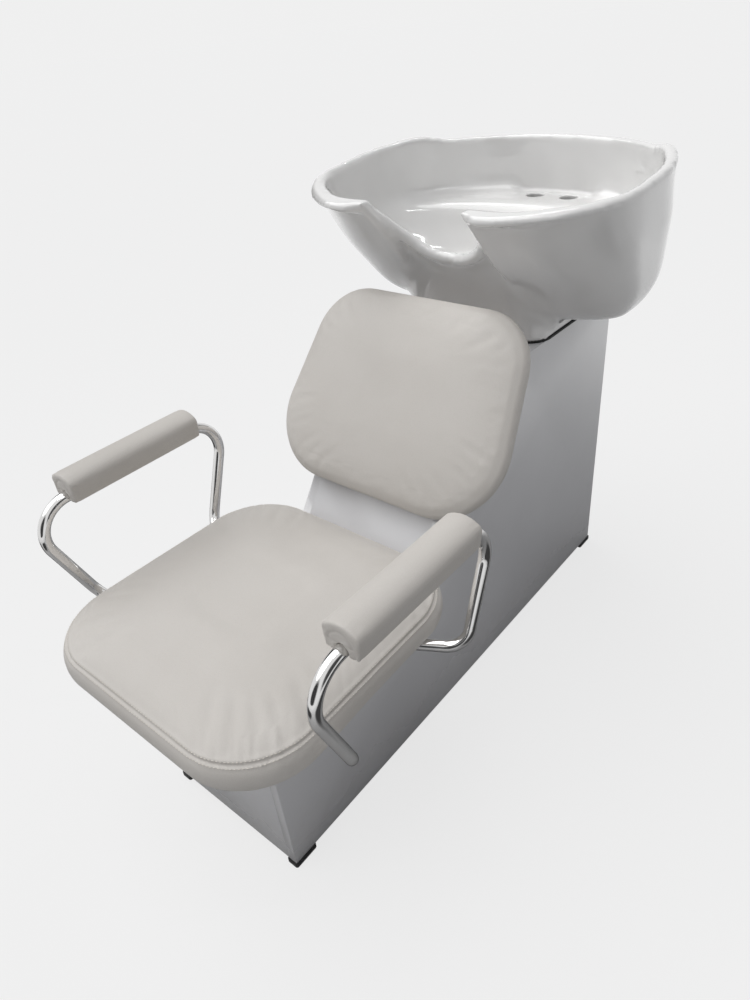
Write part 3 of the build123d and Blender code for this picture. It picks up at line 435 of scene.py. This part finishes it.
def plump(piece, held, pressure, cap, frames=20):
    # fills a closed cover with air, held where it is sewn or fixed
    started = [v.co.copy() for v in piece.data.vertices]
    group = piece.vertex_groups.new(name="held")
    for vertex in piece.data.vertices:
        group.add([vertex.index], held(vertex.co), "REPLACE")
    cover = piece.modifiers.new("cover", "CLOTH")
    for key, value in cloth.items():
        setattr(cover.settings, key, value)
    cover.settings.uniform_pressure_force = pressure
    cover.settings.effector_weights.gravity = 0
    cover.point_cache.frame_end = frames
    for step in range(1, frames + 1):
        bpy.context.scene.frame_set(step)
    shown = piece.evaluated_get(bpy.context.evaluated_depsgraph_get())
    reached = [v.co.copy() for v in shown.data.vertices]
    piece.modifiers.clear()
    piece.vertex_groups.clear()
    bpy.context.scene.frame_set(1)
    for vertex, start, end in zip(piece.data.vertices, started, reached):
        push = end - start
        vertex.co = start + push * (cap / (cap + push.length))  # soft limit
    piece.data.update()


def roundedReach(x, y, halfX, halfY, corner):
    # how far a plan point lies outside a rounded rectangle, negative inside
    overX = abs(x) - halfX + corner
    overY = abs(y) - halfY + corner
    return hypot(max(overX, 0), max(overY, 0)) + min(max(overX, overY), 0) - corner


def onSurface(tree, start, towards):
    spot, normal = tree.ray_cast(start, towards)[:2]
    return spot, normal


def stitchRow(name, finish, spots, stitch):
    # spots are points and outward normals along the sewing line
    row = bmesh.new()
    pitch = stitch["length"] + stitch["gap"]
    travelled = 0.0
    for (start, normal), (end, nextNormal) in zip(spots, spots[1:]):
        run = end - start
        while travelled < run.length:
            way = run.normalized()
            up = normal.lerp(nextNormal, travelled / run.length).normalized()
            side = way.cross(up).normalized()
            middle = start + way * travelled + up * stitch["proud"]
            turn = Matrix((way, side, up)).transposed().to_4x4()
            size = Matrix.Diagonal((stitch["length"] / 2, stitch["width"] / 2, stitch["width"] / 2, 1))
            bmesh.ops.create_icosphere(row, subdivisions=1, radius=1, matrix=Matrix.Translation(middle) @ turn @ size)
            travelled += pitch
        travelled -= run.length
    return newPiece(name, row, finish)


threadFinish = mouldedFinish("sewingThread", tone(0.78, 0.75, 0.70), tone(0.70, 0.66, 0.60), 0.55, 2500)

# Gloss boards, with the thin rounding that edge banding leaves
boards = {"rounding": 0.0009, "flat": 1, "edge": 35, "crisp": 30, "nodes": [
    "side_panel_left", "side_panel_right", "front_panel", "rear_rail_top", "rear_rail_bottom", "rear_door",
]}


def edgeBanded(node, body):
    shape = weldedCopy(node)
    bmesh.ops.dissolve_limit(shape, angle_limit=radians(boards["flat"]), verts=shape.verts, edges=shape.edges)
    sharp = [e for e in shape.edges if e.is_manifold and e.calc_face_angle(0) > radians(boards["edge"])]
    bmesh.ops.bevel(
        shape, geom=sharp, offset=boards["rounding"], offset_type="OFFSET", segments=2, profile=0.5,
        affect="EDGES", material=-1, clamp_overlap=True,
    )
    board = newPiece(node + "_banded", shape, finishes["cabinet_gloss"])
    board.data.set_sharp_from_angle(angle=radians(boards["crisp"]))
    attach(board, body)
    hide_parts(node)


for node in boards["nodes"]:
    edgeBanded(node, "door" if node == "rear_door" else "cabinet")
print("boards banded:", len(boards["nodes"]))

# Seat cushion: a boxed cover, its top panel sewn to the side band with two rows of topstitching
seat = {
    "voxel": 0.005, "corner": 0.117, "sewn": 0.393, "under": 0.356, "board": 0.012, "pressure": 4, "cap": 0.010,
    "flatten": 0.94, "seamBand": 0.004, "rowGap": 0.0027,
    "held": {"under": 0.005, "board": 0.006, "boardInset": 0.026, "seam": 0.0032, "seamInset": 0.03},
    "hem": {"drop": 0.007, "height": (0.388, 0.362), "reach": (-0.034, -0.010), "front": (-0.36, -0.50)},
    "seam": {"dip": 0.0017, "dipWidth": 0.0016, "welt": 0.0009, "weltWidth": 0.0016, "inset": 0.045, "over": 0.006},
    "pucker": {
        "depth": 0.0011, "round": 96, "across": 9, "seed": 0.3, "cornerX": 0.12, "cornerY": 0.1, "cornerRun": 0.08,
        "everywhere": 0.35, "above": 0.010, "aboveWidth": 0.011, "belowWidth": 0.006, "belowShare": 0.5,
    },
    "stitch": {"length": 0.0040, "gap": 0.0014, "width": 0.0014, "proud": 0.0002}, "turns": 360,
}
seatLow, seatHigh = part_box("seat_cushion")
seatMid = (seatLow + seatHigh) / 2
seatHalf = (seatHigh - seatLow) / 2


def seatReach(co):
    return roundedReach(co.x, co.y - seatMid.y, seatHalf.x, seatHalf.y, seat["corner"])


def seatHeld(co):
    # the underside, what lies on the board, and the seam
    held, reach = seat["held"], seatReach(co)
    onBoard = reach < -held["boardInset"] and co.z < seat["under"] + seat["board"] + held["board"]
    onSeam = reach > -held["seamInset"] and abs(co.z - seat["sewn"]) < held["seam"]
    return 1.0 if co.z < seat["under"] + held["under"] or onBoard or onSeam else 0.0


def seatPressed(co, normal):
    if co.z > seat["sewn"]:
        co.z = seat["sewn"] + (co.z - seat["sewn"]) * seat["flatten"]
    return co


def seatDropped(co, normal):
    # the band's lower hem hangs a little lower along the front
    hem = seat["hem"]
    hang = hem["drop"] * ramp(co.z, *hem["height"]) * ramp(seatReach(co), *hem["reach"])
    co.z -= hang * ramp(co.y, *hem["front"])
    return co


def seatSewn(co, normal):
    # the seam's dip, and short puckers in the panel above it, strongest round the corners
    seam, pucker = seat["seam"], seat["pucker"]
    rise = co.z - seat["sewn"]
    if seatReach(co) < -seam["inset"] or co.z < seat["under"] + seam["over"]:
        return co
    dip = seam["dip"] * bell(rise, seam["dipWidth"])
    dip -= seam["welt"] * bell(abs(rise), seam["weltWidth"], seat["rowGap"])
    corner = clamped((abs(co.x) - pucker["cornerX"]) / pucker["cornerRun"])
    corner *= clamped((abs(co.y - seatMid.y) - pucker["cornerY"]) / pucker["cornerRun"])
    around = (co.x + co.y - seatMid.y) * pucker["round"]
    fold = noise.noise(Vector((around, co.x * pucker["across"], pucker["seed"])))
    fade = bell(rise, pucker["belowWidth"]) * pucker["belowShare"]
    if rise > 0:
        fade = bell(rise, pucker["aboveWidth"], pucker["above"])
    return co - normal * (dip + pucker["depth"] * (pucker["everywhere"] + corner) * fold * fade)


cushion = newPiece("seatCover", weldedCopy("seat_cushion"), finishes["leatherette"])
remesh(cushion, seat["voxel"])
relax(cushion, rounds=4)
reshape(cushion, seatPressed)
plump(cushion, seatHeld, seat["pressure"], seat["cap"])
relax(cushion, rounds=3, share=lambda v: abs(v.co.z - seat["sewn"]) > seat["seamBand"])
subdivide(cushion)
reshape(cushion, seatDropped)
reshape(cushion, seatSewn)
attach(cushion, "cabinet")
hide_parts("seat_cushion")

seatTree = BVHTree.FromObject(cushion, bpy.context.evaluated_depsgraph_get())
for label, offset in (("upper", seat["rowGap"]), ("lower", -seat["rowGap"])):
    line = []
    for step in range(seat["turns"] + 1):
        angle = 2 * pi * step / seat["turns"]
        way = Vector((cos(angle), sin(angle), 0))
        start = Vector((0, seatMid.y, seat["sewn"] + offset)) + way
        line.append(onSurface(seatTree, start, -way))
    stitches = stitchRow("seatStitch_" + label, threadFinish, line, seat["stitch"])
    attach(stitches, "cabinet")
print("seat covered")

# Back cushion, worked in the sloping board's plane: u across, v up the slope, w out of it
back = {
    "angle": 36.7, "foot": (0, 0.087, 0.626), "spacer": 0.004, "board": 0.012, "voxel": 0.005,
    "sewn": 0.036, "pressure": 3, "cap": 0.009, "flatten": 0.94, "halfWidth": 0.256, "narrowing": 0.046,
    "corner": 0.11, "held": {"under": 0.004, "board": 0.005, "boardInset": 0.026, "seam": 0.003, "seamInset": 0.03},
    "seam": {"dip": 0.0011, "dipWidth": 0.004, "inset": 0.04},
    "fold": {"depth": 0.0006, "scale": 70, "seed": 1.7, "above": 0.008, "width": 0.009},
}
slopeTurn = Matrix.Rotation(radians(90 - back["angle"]), 4, "X")
slopePlace = Matrix.Translation(back["foot"]) @ slopeTurn
slopeBack = slopePlace.inverted()


def backHeld(co):
    local = slopeBack @ co
    held, reach, height = back["held"], backReach(local), local.z - back["spacer"]
    onBoard = reach < -held["boardInset"] and height < back["board"] + held["board"]
    onSeam = reach > -held["seamInset"] and abs(height - back["sewn"]) < held["seam"]
    return 1.0 if height < held["under"] or onBoard or onSeam else 0.0


backPoints = [slopeBack @ v.co for v in nodes["back_cushion"].data.vertices]
backLow = min(p.y for p in backPoints)
backHigh = max(p.y for p in backPoints)


def backReach(local):
    # the outline narrows towards its top
    share = (local.y - backLow) / (backHigh - backLow)
    halfWidth = back["halfWidth"] - back["narrowing"] * share
    middle, halfHeight = (backLow + backHigh) / 2, (backHigh - backLow) / 2
    return roundedReach(local.x, local.y - middle, halfWidth, halfHeight, back["corner"])


def backPressed(co, normal):
    local = slopeBack @ co
    seam = back["spacer"] + back["sewn"]
    if local.z > seam:
        local.z = seam + (local.z - seam) * back["flatten"]
    return slopePlace @ local


def backSewn(co, normal):
    # the seam's dip, and slight folds in the panel beside it
    seam, fold = back["seam"], back["fold"]
    local = slopeBack @ co
    rise = local.z - back["spacer"] - back["sewn"]
    if backReach(local) < -seam["inset"]:
        return co
    wave = noise.noise(Vector((local.x * fold["scale"], local.y * fold["scale"], fold["seed"])))
    wave = wave * fold["depth"] * bell(rise, fold["width"], fold["above"])
    return co - normal * (seam["dip"] * bell(rise, seam["dipWidth"]) + wave)


rest = newPiece("backCover", weldedCopy("back_cushion"), finishes["leatherette"])
remesh(rest, back["voxel"])
relax(rest, rounds=4)
reshape(rest, backPressed)
plump(rest, backHeld, back["pressure"], back["cap"])
relax(rest, rounds=12)
subdivide(rest)
reshape(rest, backSewn)
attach(rest, "cabinet")
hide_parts("back_cushion")
print("back covered")

# Arm pads: a half-round wrap with its ends folded in and sewn round the arc
pad = {
    "voxel": 0.0022, "pressure": 3, "cap": 0.0016, "frames": 10, "held": 0.012, "base": 0.007,
    "seam": {"inset": 0.0085, "depth": 0.0013, "width": 0.0011},
    "flap": {"end": 0.004, "rise": 0.010, "slope": 0.05, "width": 0.0012},
    "gather": {
        "depth": 0.0016, "round": 420, "up": 90, "seed": {"left": 2.0, "right": 5.0},
        "inset": 0.012, "width": 0.009, "rise": 0.008, "riseWidth": 0.014,
    },
    "edge": {"inset": 0.006, "width": 0.0016, "depth": 0.0006},
    "ripple": {"depth": 0.00045, "round": 300, "along": 30, "inset": 0.010, "width": 0.008},
}


def coverPad(side):
    node = "arm_pad_" + side
    low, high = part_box(node)
    mid = (low + high) / 2
    cover = newPiece("padCover_" + side, weldedCopy(node), finishes["leatherette"])
    remesh(cover, pad["voxel"])
    relax(cover, rounds=3)
    plump(
        cover, lambda co: 1.0 if co.z < low.z + pad["held"] else 0.0, pad["pressure"], pad["cap"], pad["frames"],
    )
    relax(cover, rounds=2)
    baseZ = low.z + pad["base"]
    reach = high.x - mid.x
    seam, flap, gather, edge, ripple = (pad[key] for key in ("seam", "flap", "gather", "edge", "ripple"))

    def folded(co, normal):
        # the end panel's arc seam, the tucked flap under it, and gathers at its lower corners
        end = min(co.y - low.y, high.y - co.y)
        rise = co.z - baseZ
        arc = hypot((co.x - mid.x), rise * reach / (high.z - baseZ))
        drop = 0.0
        if end < flap["end"]:
            seamArc = reach - seam["inset"]
            drop += seam["depth"] * bell(arc, seam["width"], seamArc)
            overFlap = rise - flap["rise"] - flap["slope"] * (co.x - mid.x)
            drop += seam["depth"] * bell(overFlap, flap["width"]) * (1 if arc < seamArc else 0)
            wave = noise.noise(Vector((arc * gather["round"], rise * gather["up"], gather["seed"][side])))
            corner = bell(abs(co.x - mid.x) - reach + gather["inset"], gather["width"])
            corner *= bell(rise, gather["riseWidth"], gather["rise"])
            drop += wave * gather["depth"] * corner
        around = bell(end, edge["width"], edge["inset"]) * edge["depth"]
        wave = noise.noise(Vector((co.x * ripple["round"], co.z * ripple["round"], co.y * ripple["along"])))
        wave = wave * ripple["depth"] * bell(end, ripple["width"], ripple["inset"])
        return co - normal * (drop + around + wave)

    reshape(cover, folded)
    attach(cover, "cabinet")
    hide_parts(node)


for side in ("left", "right"):
    coverPad(side)
print("arm pads covered")

# Basin: the cast form with every edge rounded by the glaze, then its holes cut clean
basin = {
    "voxel": 0.0046, "rounds": 12, "rimFillRounds": 6, "rimRounds": 30, "neckRounds": 150, "neckEdgeRounds": 40,
    "ledgeRounds": 90, "footRounds": 14, "worn": 0.25, "cornerTuck": 0.021, "middle": (0, 0.36, 0.87),
    "tapHole": 0.0175, "tapSpots": ((-0.037, 0.5565), (0.037, 0.5565)), "deck": 0.805, "wall": 0.016,
    "drainHole": 0.026, "drain": (0.0, 0.3625), "floor": 0.674, "foot": 0.630, "footBand": 0.0015, "plugLap": 0.001,
    "holeRound": 0.003, "drainRound": 0.001, "cutDepth": 0.03, "cutOver": 0.02, "roundSteps": 5,
}

# Where each smoothing of the basin acts: every range runs from none of it to all of it
zones = {
    "tuck": {"front": (0.26, 0.12), "aside": (0.13, 0.25), "up": (0.66, 0.87)},
    "rim": {"up": (0.83, 0.86)},
    "neck": {"front": (0.46, 0.30), "foot": (0.6325, 0.646), "rim": (0.880, 0.845), "lip": (0.0125, 0.026)},
    "skirt": {"foot": (0.6325, 0.640), "lobe": (0.72, 0.69), "front": (0.46, 0.40)},
    "roll": {"below": (0.008, 0.016), "down": (0.10, 0.06), "aside": (0.13, 0.17), "behind": (0.3, 0.36)},
    "ledge": {
        "aside": (0.06, 0.11), "before": (0.537, 0.522), "behind": (0.22, 0.28), "floor": (0.715, 0.74),
        "rim": (0.89, 0.87),
    },
}


def holeCutter(spot, radius, top, depth, flare):
    # a turned plug whose upper end opens out, so that the hole's edge comes out rounded
    shape = bmesh.new()
    profile = [(0, top - depth), (radius, top - depth), (radius, top - flare)]
    for step in range(1, basin["roundSteps"] + 1):
        angle = radians(90) * step / basin["roundSteps"]
        profile.append((radius + flare * (1 - cos(angle)), top - flare + flare * sin(angle)))
    profile += [(radius + flare, top + basin["cutOver"]), (0, top + basin["cutOver"])]
    ring = [shape.verts.new((spot[0] + r, spot[1], z)) for r, z in profile]
    edges = [shape.edges.new(pair) for pair in zip(ring, ring[1:])]
    bmesh.ops.spin(
        shape, geom=ring + edges, cent=(spot[0], spot[1], 0), axis=(0, 0, 1), angle=2 * pi, steps=48, use_merge=True,
    )
    bmesh.ops.remove_doubles(shape, verts=shape.verts, dist=weld["turned"])
    bmesh.ops.recalc_face_normals(shape, faces=shape.faces)
    return newPiece("holeCutter", shape, finishes["glazed_white"])


# The rim's roll: plan outline from the horns round to the rear, and the notch's edge down to the lip
rim = {
    "half": 0.312, "front": 0.0705, "rear": 0.6095, "belly": 0.44, "cornerAcross": 0.56, "cornerDeep": 0.62,
    "radius": 0.0098, "lipRadius": 0.0112, "notchCentre": 0.880, "notchReach": 0.1045,
    "heights": (
        (0.0, 0.8868), (0.0705, 0.887), (0.440, 0.9215), (0.462, 0.9222), (0.485, 0.918), (0.512, 0.9115),
        (0.7, 0.911),
    ),
    "cover": 0.0008, "horn": 0.117, "hornBack": 0.006, "blur": (-0.012, -0.006, 0, 0.006, 0.012),
    "straight": 0.03, "step": 6, "rearStep": 4,
    "notchDepths": ((0, 0.207), (45, 0.184), (70, 0.146), (80, 0.124), (90, 0.096)),
}


def read(table, value):
    # straight between a table's rows
    for (low, first), (high, last) in zip(table, table[1:]):
        if value <= high:
            return first + (last - first) * max(0.0, value - low) / (high - low)
    return table[-1][1]


def quarter(step, first=0):
    # a quarter turn's angles, in degrees
    return range(first, 91, step)


def rimHalf():
    # points and radii of one half, from the lip's middle up to the horn and back to the rear's middle
    half, front, rear = rim["half"] - rim["radius"], rim["front"] + rim["radius"], rim["rear"] - rim["radius"]
    belly = rim["front"] + (rim["rear"] - rim["front"]) * rim["belly"]
    across, deep = half * rim["cornerAcross"], (belly - front) * rim["cornerDeep"]
    path = []
    for angle in quarter(rim["step"]):
        turn = radians(angle)
        level = rim["notchCentre"] - rim["notchReach"] * cos(turn)
        spot = (rim["notchReach"] * sin(turn), read(rim["notchDepths"], angle), level)
        path.append((spot, rim["lipRadius"] + (rim["radius"] - rim["lipRadius"]) * angle / 90))
    plan = [(rim["horn"], front + rim["hornBack"]), (half - across, front)]
    for angle in quarter(rim["step"], rim["step"]):
        plan.append((half - across + across * sin(radians(angle)), front + deep - deep * cos(radians(angle))))
    plan += [(half, belly - rim["straight"]), (half, belly)]
    for angle in quarter(rim["rearStep"], rim["rearStep"]):
        plan.append((half * cos(radians(angle)), belly + (rear - belly) * sin(radians(angle))))
    for x, y in plan:
        level = sum(read(rim["heights"], y + shift) for shift in rim["blur"]) / len(rim["blur"])
        level = max(level, read(rim["heights"], y)) + rim["cover"]
        path.append(((x, y, level - rim["radius"]), rim["radius"]))
    return path


def rollInto(shape, path):
    # a closed tube along the path, for the remesh to join with the cast
    curve = bpy.data.curves.new("rimRoll", "CURVE")
    curve.dimensions = "3D"
    curve.bevel_depth = 1.0
    curve.bevel_resolution = 4
    spline = curve.splines.new("POLY")
    spline.points.add(len(path) - 1)
    for point, (spot, radius) in zip(spline.points, path):
        point.co = (*spot, 1)
        point.radius = radius
    spline.use_cyclic_u = True
    holder = bpy.data.objects.new("rimRoll", curve)
    bpy.context.scene.collection.objects.link(holder)
    bpy.context.view_layer.update()
    mesh = bpy.data.meshes.new_from_object(holder.evaluated_get(bpy.context.evaluated_depsgraph_get()))
    shape.from_mesh(mesh)
    bpy.data.objects.remove(holder)
    bpy.data.meshes.remove(mesh)


def plug(shape, spot, radius, top, sides):
    # closes one of the cast's holes, which is cut again at the end
    lap = basin["plugLap"]
    bmesh.ops.create_cone(
        shape, cap_ends=True, segments=sides, radius1=radius + lap, radius2=radius + lap,
        depth=basin["wall"] - lap, matrix=Matrix.Translation((*spot, top - basin["wall"] / 2)),
    )


cast = weldedCopy("basin")
oneHalf = rimHalf()
otherHalf = [((-x, y, z), radius) for (x, y, z), radius in reversed(oneHalf[1:-1])]
rollInto(cast, oneHalf + otherHalf)
for spot in basin["tapSpots"]:
    plug(cast, spot, basin["tapHole"], basin["deck"], sides=32)
plug(cast, basin["drain"], basin["drainHole"], basin["floor"], sides=40)
bowl = newPiece("glazedBasin", cast, finishes["glazed_white"])
remesh(bowl, basin["voxel"])
keepSkin(bowl)
relax(bowl, basin["rounds"])
for vertex in bowl.data.vertices:
    # the front corners are drawn in, more towards the rim
    co, zone = vertex.co, zones["tuck"]
    tuck = ramp(co.y, *zone["front"]) * ramp(abs(co.x), *zone["aside"]) * ramp(co.z, *zone["up"])
    co.x -= basin["cornerTuck"] * tuck * (1 if co.x > 0 else -1)
toHorn = oneHalf[:len(quarter(rim["step"])) + 1]
notchLine = [Vector((side * x, y, z)) for (x, y, z), radius in toHorn for side in (-1, 1)]


def inside(vertex):
    return (Vector(basin["middle"]) - vertex.co).dot(vertex.normal) > 0


def aroundNeck(vertex):
    # the outer skin where the two lobes run into the neck and the pedestal, clear of the lip's roll
    co, zone = vertex.co, zones["neck"]
    share = ramp(co.y, *zone["front"]) * ramp(co.z, *zone["foot"]) * ramp(co.z, *zone["rim"])
    if share == 0 or inside(vertex):
        return 0
    return share * ramp(min((co - spot).length for spot in notchLine), *zone["lip"])


def aroundSkirt(vertex):
    # the foot, from just over the gasket up to the lobes' undersides
    co, zone = vertex.co, zones["skirt"]
    share = ramp(co.z, *zone["foot"]) * ramp(co.z, *zone["lobe"]) * ramp(co.y, *zone["front"])
    return 0 if inside(vertex) else share


def belowRim(vertex):
    # the hollow line under the roll, clear of the notch
    co, zone = vertex.co, zones["roll"]
    below = read(rim["heights"], co.y) - co.z
    clear = max(ramp(abs(co.x), *zone["aside"]), ramp(co.y, *zone["behind"]))
    share = ramp(below, *zone["below"]) * ramp(below, *zone["down"]) * clear
    return 0 if share == 0 or inside(vertex) else share


def ledgeEnd(vertex):
    # beside and before the taps the ledge runs out into the bowl's wall
    co, zone = vertex.co, zones["ledge"]
    offTaps = max(ramp(abs(co.x), *zone["aside"]), ramp(co.y, *zone["before"]))
    share = offTaps * ramp(co.y, *zone["behind"]) * ramp(co.z, *zone["floor"]) * ramp(co.z, *zone["rim"])
    return share if share > 0 and inside(vertex) else 0


def atRim(vertex):
    return ramp(vertex.co.z, *zones["rim"]["up"])


relax(bowl, basin["rimFillRounds"], share=atRim, full=True)
relax(bowl, basin["rimRounds"], share=atRim)
relax(bowl, basin["rimRounds"], share=belowRim, full=True)
relax(bowl, basin["neckRounds"], share=aroundNeck, full=True, worn=basin["worn"])
relax(bowl, basin["footRounds"], share=aroundSkirt, full=True)
relax(bowl, basin["neckEdgeRounds"], share=aroundNeck)
relax(bowl, basin["ledgeRounds"], share=ledgeEnd, full=True)
relax(bowl, rounds=4)
for vertex in bowl.data.vertices:
    if vertex.co.z < basin["foot"] + basin["footBand"]:
        vertex.co.z = basin["foot"]
cutters = [
    holeCutter(spot, basin["tapHole"], basin["deck"], basin["cutDepth"], basin["holeRound"])
    for spot in basin["tapSpots"]
]
cutters.append(holeCutter(basin["drain"], basin["drainHole"], basin["floor"], basin["cutDepth"], basin["drainRound"]))
for cutter in cutters:
    cut = bowl.modifiers.new("hole", "BOOLEAN")
    cut.operation = "DIFFERENCE"
    cut.solver = "EXACT"
    cut.object = cutter
    settle(bowl)
    bpy.data.objects.remove(cutter)
print("basin faces:", len(bowl.data.polygons))
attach(bowl, "basin")
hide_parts("basin")
print("basin glazed")

# Drain hose, between the tipping waste and the fixed outlet: a copy of the part with its sharp creases kept
hose = newPiece("drainHose", weldedCopy("drain_hose"), finishes["grey_hose"])
bend = {"below": 0.13, "above": 0.01, "crisp": 40}
hose.data.set_sharp_from_angle(angle=radians(bend["crisp"]))
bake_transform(hose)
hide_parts("drain_hose")

# Strainer: a hair above its seat, so that the two share no plane
plate = {"gap": 0.0003, "crisp": 30}
grate = weldedCopy("waste_strainer")
bmesh.ops.translate(grate, verts=grate.verts, vec=(0, 0, plate["gap"]))
strainer = newPiece("strainerPlate", grate, finishes["chrome"])
strainer.data.set_sharp_from_angle(angle=radians(plate["crisp"]))
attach(strainer, "strainer")
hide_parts("waste_strainer")
print("waste fitted")

# Studio: pale floor, soft light from above and the left, two thin strips for the glaze's highlights
studio = {
    "floor": 40.0, "ambient": 0.25, "white": 0.867, "shadow": 0.25, "sun": 2.0, "sunSpread": 70,
    "sunWay": (0.5, 0.28, -1.0), "cardAim": (0, 0, 0.6), "lyingBelow": 0.1,
}


def paper(shading, shade, glow, strength):
    # camera, mirror and glass rays see plain white, and a share of the floor's own light keeps its shadow
    rays = [
        shading.node("ShaderNodeLightPath", out=kind)
        for kind in ("Is Camera Ray", "Is Glossy Ray", "Is Transmission Ray")
    ]
    either = shading.node("ShaderNodeMath", {"operation": "MAXIMUM"}, {0: rays[0], 1: rays[1]})
    seen = shading.node("ShaderNodeMath", {"operation": "MAXIMUM"}, {0: either, 1: rays[2]})
    shading.end(shading.node("ShaderNodeMixShader", feeds={0: seen * strength, 1: shade, 2: glow}))


floorShape = bmesh.new()
bmesh.ops.create_grid(floorShape, x_segments=2, y_segments=2, size=studio["floor"])
floorPaper = Finish(
    "floorPaper", {"Base Color": tone(0.55, 0.55, 0.55), "Roughness": 0.9, "Specular IOR Level": 0.1},
)
paper(
    floorPaper, Wire(floorPaper, floorPaper.shader.outputs[0]), floorPaper.node("ShaderNodeEmission"),
    1 - studio["shadow"],
)
floor = newPiece("studioFloor", floorShape, floorPaper.material)

world = bpy.data.worlds.new("studioWorld")
world.use_nodes = True
bpy.context.scene.world = world
sky = Shading(world.node_tree)
soft = sky.node("ShaderNodeBackground", feeds={"Color": tone(0.96, 0.97, 1.0), "Strength": studio["ambient"]})
plain = sky.node("ShaderNodeBackground", feeds={"Color": tone(1, 1, 1), "Strength": studio["white"]})
paper(sky, soft, plain, 1.0)

sunData = bpy.data.lights.new("softSky", "SUN")
sunData.energy = studio["sun"]
sunData.angle = radians(studio["sunSpread"])
sun = bpy.data.objects.new("softSky", sunData)
bpy.context.scene.collection.objects.link(sun)
sun.rotation_euler = Vector(studio["sunWay"]).to_track_quat("-Z", "Y").to_euler()

strips = {
    "places": {"stripNear": (0.75, -0.35, 2.5), "stripFar": (-0.5, 1.1, 2.5)},
    "aim": (0, 0.3, 0.8), "size": (0.9, 0.07), "power": 4,
}
for name, place in strips["places"].items():
    light = bpy.data.lights.new(name, "AREA")
    light.shape = "RECTANGLE"
    light.size, light.size_y = strips["size"]
    light.energy = strips["power"]
    holder = bpy.data.objects.new(name, light)
    bpy.context.scene.collection.objects.link(holder)
    holder.location = place
    holder.rotation_euler = (Vector(strips["aim"]) - Vector(place)).to_track_quat("-Z", "Y").to_euler()

# Grey cards with soft edges that only mirrors see, as a studio hangs them to draw a gloss surface's form
cards = {
    "cardFloor": {"place": (0, 0.1, 0.003), "size": (2.4, 2.4), "shade": 0.34, "edge": 0.75},
    "cardRight": {"place": (2.6, -0.4, 1.0), "size": (1.5, 1.5), "shade": 0.12, "edge": 0.5},
    "cardFront": {"place": (0.4, -2.8, 0.9), "size": (1.7, 1.7), "shade": 0.12, "edge": 0.5},
    "cardLeft": {"place": (-2.6, 0.6, 1.2), "size": (1.4, 1.4), "shade": 0.12, "edge": 0.5},
    "cardLowRight": {"place": (0.95, -0.3, 0.006), "size": (0.42, 0.9), "shade": 0.06, "edge": 0.4},
    "cardLowLeft": {"place": (-0.95, -0.4, 0.006), "size": (0.38, 0.9), "shade": 0.06, "edge": 0.4},
    "cardLowFront": {"place": (-0.1, -1.3, 0.006), "size": (0.6, 0.36), "shade": 0.06, "edge": 0.4},
}


def cardPaint(name, card):
    grey = card["shade"]
    made = Finish(name, {"Base Color": tone(grey, grey, grey), "Roughness": 0.9, "Specular IOR Level": 0})
    width, depth = card["size"]
    spot = made.node(
        "ShaderNodeMapping", {"vector_type": "TEXTURE"},
        {"Vector": made.place, "Location": card["place"], "Scale": (width, depth, depth)},
    )
    fade = made.node("ShaderNodeTexGradient", {"gradient_type": "SPHERICAL"}, {"Vector": spot})
    clear = made.node("ShaderNodeBsdfTransparent")
    painted = Wire(made, made.shader.outputs[0])
    made.end(made.node(
        "ShaderNodeMixShader", feeds={0: made.between(fade, 0.0, card["edge"]), 1: clear, 2: painted},
    ))
    return made.material


for name, card in cards.items():
    cardShape = bmesh.new()
    place = Vector(card["place"])
    turn = Matrix()
    if place.z > studio["lyingBelow"]:
        turn = (Vector(studio["cardAim"]) - place).to_track_quat("Z", "Y").to_matrix().to_4x4()
    bmesh.ops.create_grid(
        cardShape, x_segments=1, y_segments=1, size=1,
        matrix=Matrix.Translation(place) @ turn @ Matrix.Diagonal((*card["size"], 1, 1)),
    )
    hung = newPiece(name, cardShape, cardPaint(name, card))
    hung.visible_camera = hung.visible_diffuse = hung.visible_shadow = False

bpy.context.scene.view_settings.view_transform = "Standard"
print("studio lit")
